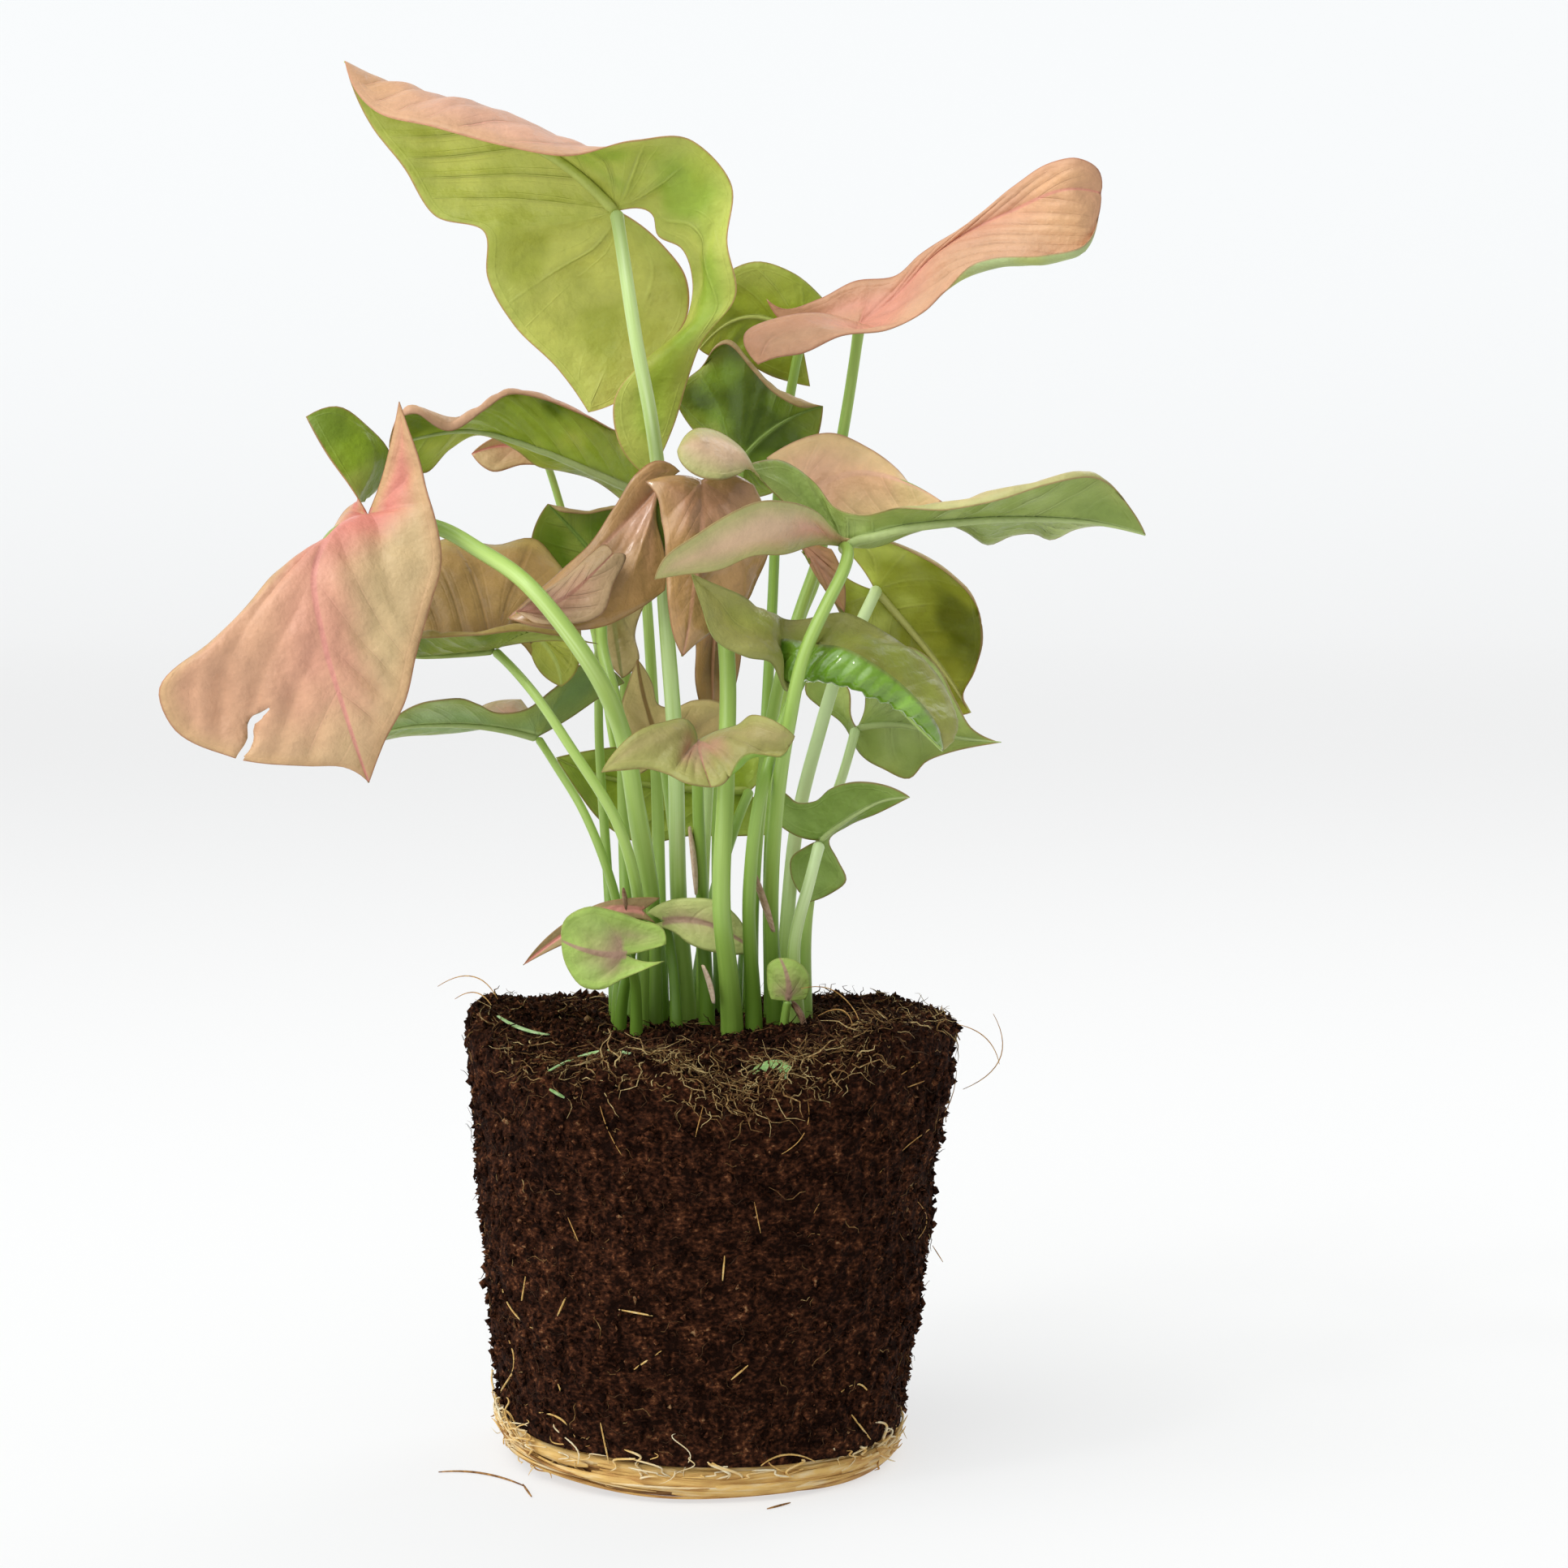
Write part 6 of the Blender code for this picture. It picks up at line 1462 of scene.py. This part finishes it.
leaf("low_dark", "green",
     rib=[(-13, -16, 129), (-22, -18, 129), (-32, -18, 123), (-41, -18, 116)],
     right=half([(-9, -15, 132), (-15, -16, 132), (-22, -17, 131), (-32, -18, 125.5)], bulge=(0.05,)),
     left=half([(-10, -16, 126), (-16, -18, 127), (-24, -20, 124), (-34, -19, 119.8)], bulge=(0.05,)),
     foot=(-18, -10), stalk=[(-15, -14, 122)], thick=(1, 1.4),
     look=DEEP_GREEN, tint=0.2)

leaf("low_centre", "blush",
     rib=[(-8, -9, 126.5), (2, -10, 126), (8, -10, 123), (13, -9, 119.5)],
     right=half([(-11, -8, 125.5), (-6, -10, 124), (-2, -12, 121), (4, -12, 119), (9, -11, 118.5)],
                bulge=(0.1,)),
     left=half([(-12, -8, 128.5), (-8, -8, 131), (-2, -9, 132), (5, -10, 131), (8.5, -10, 128.3),
                (11.5, -9, 123.5)], bulge=(0.1,)),
     foot=(-5, -10), stalk=[(-6.5, -7.5, 120)], thick=(1, 1.4),
     # Painted light: these colours are paler than YOUNG's, so the blade reads bright where the leaves above shade it.
     look=dict(YOUNG, heart=(0.66, 0.55, 0.28), body=(0.62, 0.62, 0.24), edge=(0.58, 0.62, 0.22)),
     tint=0.1)

leaf("tan_fold", "pink",
     rib=[(-42, -13.5, 199), (-31.5, -14, 201.8), (-24, -12.5, 208), (-19.5, -11, 212.5)],
     right=half([(-38, -15, 196.5), (-28.3, -15.5, 196.2), (-21.8, -14.5, 198.8), (-19.5, -12.5, 205),
                 (-17, -10.5, 212.5)], bulge=(0.12,), ripple=(0.5, 2, 0)),
     left=half([(-37.4, -13, 202.5), (-30, -12, 207.5), (-24.5, -10.5, 212.5), (-21.5, -10, 214.6)],
               bulge=(0.12,)),
     foot=None, stalk=[], thick=(0.8, 1),
     look=dict(COPPER, heart=(0.40, 0.22, 0.13), body=(0.45, 0.27, 0.16), edge=(0.42, 0.28, 0.15),
               tip=(0.36, 0.31, 0.15), rib=(0.30, 0.13, 0.08), vein_strength=0.7),
     spacing=6.0, puff=1.2, folds=1.3)

leaf("green_fold", "green",
     rib=[(-11.5, -5, 229.5), (-9.5, -5.5, 220), (-6.8, -6, 210)],
     right=half([(-9, -5, 228.5), (-7.2, -5.5, 222), (-6, -6, 214)], bulge=(0.05,)),
     left=half([(-14, -5, 229.2), (-12, -5.5, 222), (-9.8, -6, 213.5)], bulge=(0.05,)),
     foot=None, stalk=[], thick=(0.6, 1),
     look=dict(OLIVE, under=(0.12, 0.15, 0.012), under_edge=(0.14, 0.18, 0.015), under_vein=(0.16, 0.22, 0.03)))

leaf("copper_strip", "pink",
     rib=[(23, 2, 216), (29, 2, 208), (34, 2, 198.8)],
     right=half([(26, 2, 210), (31, 2, 202)], bulge=(0.05,)),
     left=half([(31, 2, 213.5), (34, 2, 206)], bulge=(0.05,)),
     foot=None, stalk=[], thick=(0.6, 1),
     look=dict(COPPER, heart=(0.46, 0.23, 0.16), body=(0.44, 0.24, 0.15)), shine=(0.4, 0.1))

leaf("lime_fold", "green",
     rib=[(-37, 0, 193.5), (-33, 0, 188), (-31.6, 0, 181.5)],
     right=half([(-28.2, 0, 191.5), (-27.5, 0, 187)], bulge=(0.1,)),
     left=half([(-39, 0, 191), (-35.7, 0, 184)], bulge=(0.1,)),
     foot=None, stalk=[], thick=(0.6, 1),
     look=dict(LIME, under=(0.42, 0.44, 0.06), under_edge=(0.40, 0.42, 0.07)))

leaf("tiny", "blush",
     rib=[(21, -18, 107.5), (21, -19, 112), (19, -18, 117.8)],
     right=half([(25, -17, 108), (26, -17, 113), (23, -18, 117)], bulge=(0.05,)),
     left=half([(17, -18, 108), (16, -18, 113), (16.5, -18, 116.5)], bulge=(0.05,)),
     foot=(20, -17), stalk=[], thick=(0.8, 1),
     look=YOUNG)


# Loose roots, sheaths and scraps
# Single pale roots on the ball's side, hair roots arching over its top, a strand on the table, dried
# sheaths among the stalks, and green scraps on the soil. Lines are read as (across, up) from EYE.
SIDE_ROOTS = (
    [(-46.5, 38.5), (-44, 33), (-39.5, 29)], [(-41, 41.5), (-42.5, 32)], [(-31.5, 36.5), (-33.5, 32)],
    [(-45, 26), (-44, 19), (-47, 13.5), (-47.5, 6)], [(-33.5, 15.5), (-31.5, 10.5)],
    [(-38, 8.5), (-33, 7), (-29.5, 2.5)], [(-23.5, 6), (-21.5, -4)], [(6, 46.5), (5.5, 40.5)],
    [(11.5, 20), (7.5, 16.5)], [(-9, 23.5), (-15.5, 19)], [(-19, 33.5), (-11, 32)],
    [(33.5, 13.5), (37.5, 15.5), (41, 10.5)], [(36, 8), (40.5, 2)], [(14.5, -4.5), (19, -2), (27.5, -3.5)],
    [(-23.5, 84), (-21, 76), (-18, 70.5)], [(1, 82.5), (-1, 74.5)], [(25.5, 84), (25, 76.5), (19.5, 71)],
    [(60.5, 91), (57.5, 80.5), (48.5, 72.5), (42.5, 66.5)], [(56, 96), (47.5, 90)], [(53, 88.5), (49, 87)],
    [(69, 104.5), (71, 95), (62, 86.5)], [(-31, 56), (-28.5, 50)], [(28.5, 59.5), (26.5, 56)],
    [(55, 49), (57.5, 45)], [(51.5, 59.5), (53.5, 56), (51, 50)], [(13, 59.5), (14.5, 52)],
)
PALE_ROOTS = 14
# Hair roots by across, depth and up
ARCS = (
    [(-61, -8, 111), (-54, -12, 113.5), (-50, -16, 112), (-47, -18, 108)],
    [(-57, -20, 108), (-52, -22, 109.5), (-48.5, -24, 106.5)],
    [(24, -20, 110.5), (30.5, -20, 110.5), (36, -22, 106), (38, -26, 100.5)],
    [(28, -30, 104), (33, -30, 105.5), (36, -34, 102)],
    [(60.5, -12, 102), (67.5, -12, 98.5), (70.5, -10, 92.5)],
    [(57, 8, 106.5), (55, 4, 100.5)],
)
TABLE_ROOTS = ([(-41.5, -9.5), (-50.5, -6.5), (-62, -6)], [(-42, -9), (-40, -12)], [(21.5, -13.5), (16, -15)])
# Green scraps: half width, then the line on the soil
SCRAPS = (
    (0.8, [(-47, 104), (-41.5, 101), (-35, 99.5)]),
    (0.7, [(-35, 91), (-28.5, 94), (-23, 95.5), (-16, 95)]),
    (1.9, [(12.5, 89.5), (16, 92), (21, 91)]),
    (0.9, [(-35, 86.5), (-31.5, 84.5)]),
    (0.4, [(20, 92.5), (20.5, 89)]),
)
# Dry sheaths: half width, depth, then the line
SHEATHS = (
    (2.0, -8, [(-2, 148.5), (-1, 141), (-0.5, 133)]),
    (1.2, -20, [(1, 116), (2.5, 112), (3.5, 107)]),
    (1.3, -12, [(12, 140), (15, 132), (17.5, 124)]),
    (1.6, -16, [(-17.5, 134), (-16.5, 128)]),
    (2.2, -15, [(21, 108), (24, 104), (25, 100)]),
)
LINE_STEPS = 14
SCRAP_RAMP = (
    (0.0, (0.10, 0.22, 0.04)),
    (0.5, (0.28, 0.46, 0.16)),
    (1.0, (0.56, 0.68, 0.42)),
)
SHEATH_RAMP = (
    (0.0, (0.16, 0.07, 0.035)),
    (0.4, (0.42, 0.26, 0.16)),
    (0.7, (0.62, 0.44, 0.30)),
    (1.0, (0.74, 0.60, 0.44)),
)


def sighted(across, up, depth):
    """Where the sight line through (across, up) on the upright plane passes a depth: across and up."""
    near = (depth - EYE[1]) / -EYE[1]
    return EYE[0] + (across - EYE[0]) * near, EYE[2] + (up - EYE[2]) * near


def read_line(line):
    """A line of points, read evenly along its smooth curve, by column."""
    return spline(np.array(line, float), np.linspace(0, 1, LINE_STEPS)).T


def on_side(line, lift):
    """A line carried back along the sight lines until it meets the ball's front."""
    across, up = read_line(line)
    depth = np.full(LINE_STEPS, -50.0)
    for _ in range(8):
        x, z = sighted(across, up, depth)
        reach = x - ball_middle(z)
        radius = ball_radius(np.arctan2(depth, reach), z) + lift
        depth = -np.sqrt(np.maximum(radius**2 - reach**2, 1.0))
    return np.stack([x, depth, z], 1)


def on_top(line, lift):
    """A line carried back along the sight lines until it meets the soil's top."""
    across, up = read_line(line)
    depth = np.full(LINE_STEPS, -40.0)
    for _ in range(24):
        x, z = sighted(across, up, depth)
        goal = EYE[1] * (1 - (soil_height(x, depth) + lift - EYE[2]) / (up - EYE[2]))
        depth = (depth + np.clip(goal, -53, 50)) / 2
    return np.stack([x, depth, z], 1)


def on_table(line):
    """A line carried along the sight lines to the table."""
    across, up = read_line(line)
    depth = EYE[1] * (1 - (0.35 - EYE[2]) / (up - EYE[2]))
    x, z = sighted(across, up, depth)
    return np.stack([x, depth, z], 1)


def tubes(name, lines, radii, flat, tones, material):
    """Tapering round or flattened tubes along the lines, as one piece."""
    u = np.linspace(0, 1, LINE_STEPS)
    radii = np.array(radii)[:, None] * (0.3 + 0.8 * np.sin(np.pi * (0.05 + 0.9 * u)) ** 0.6)
    points, faces, strand, share = strands(np.array(lines), radii, 6, flat)
    return new_mesh(name, points, faces, material, [("tone", np.array(tones)[strand] + 0.1 * share)])


def build_loose_roots():
    """Every single root: thick pale ones low on the side, hair-fine ones above, strands on the table."""
    lines = [on_side(line, 0.3) for line in SIDE_ROOTS]
    lines += [placed(read_line(arc).T) for arc in ARCS] + [on_table(line) for line in TABLE_ROOTS]
    fine = len(SIDE_ROOTS) - PALE_ROOTS + len(ARCS)
    radii = [0.26] * PALE_ROOTS + [0.15] * fine + [0.28] * len(TABLE_ROOTS)
    tones = [0.55] * PALE_ROOTS + [0.28] * fine + [0.1] * len(TABLE_ROOTS)
    return tubes("loose_roots", lines, radii, 0.8, tones, root_skin("pale_root_skin", ROOT_RAMP, 0.6))


def build_scraps():
    """Bits of green leaf and stem lying on the soil: flattened tubes."""
    lines = [on_top(line, 0.7) for _, line in SCRAPS]
    return tubes("green_scraps", lines, [wide for wide, _ in SCRAPS], 0.35, [0.6, 0.55, 0.4, 0.5, 0.5],
                 root_skin("scrap_skin", SCRAP_RAMP, 0.5))


def build_sheaths():
    """Dried papery sheaths hanging among the stalks."""
    lines = []
    for _, depth, line in SHEATHS:
        across, up = read_line(line)
        lines.append(np.stack([across, np.full(LINE_STEPS, depth), up], 1))
    lines = [placed(line) for line in lines]
    return tubes("dry_sheaths", lines, [wide for wide, _, _ in SHEATHS], 0.35, [0.7, 0.8, 0.5, 0.2, 0.1],
                 root_skin("sheath_skin", SHEATH_RAMP, 0.7))


for loose, slot in ((build_loose_roots(), "roots"), (build_scraps(), "leaf_green"), (build_sheaths(), "roots")):
    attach(loose, "root")
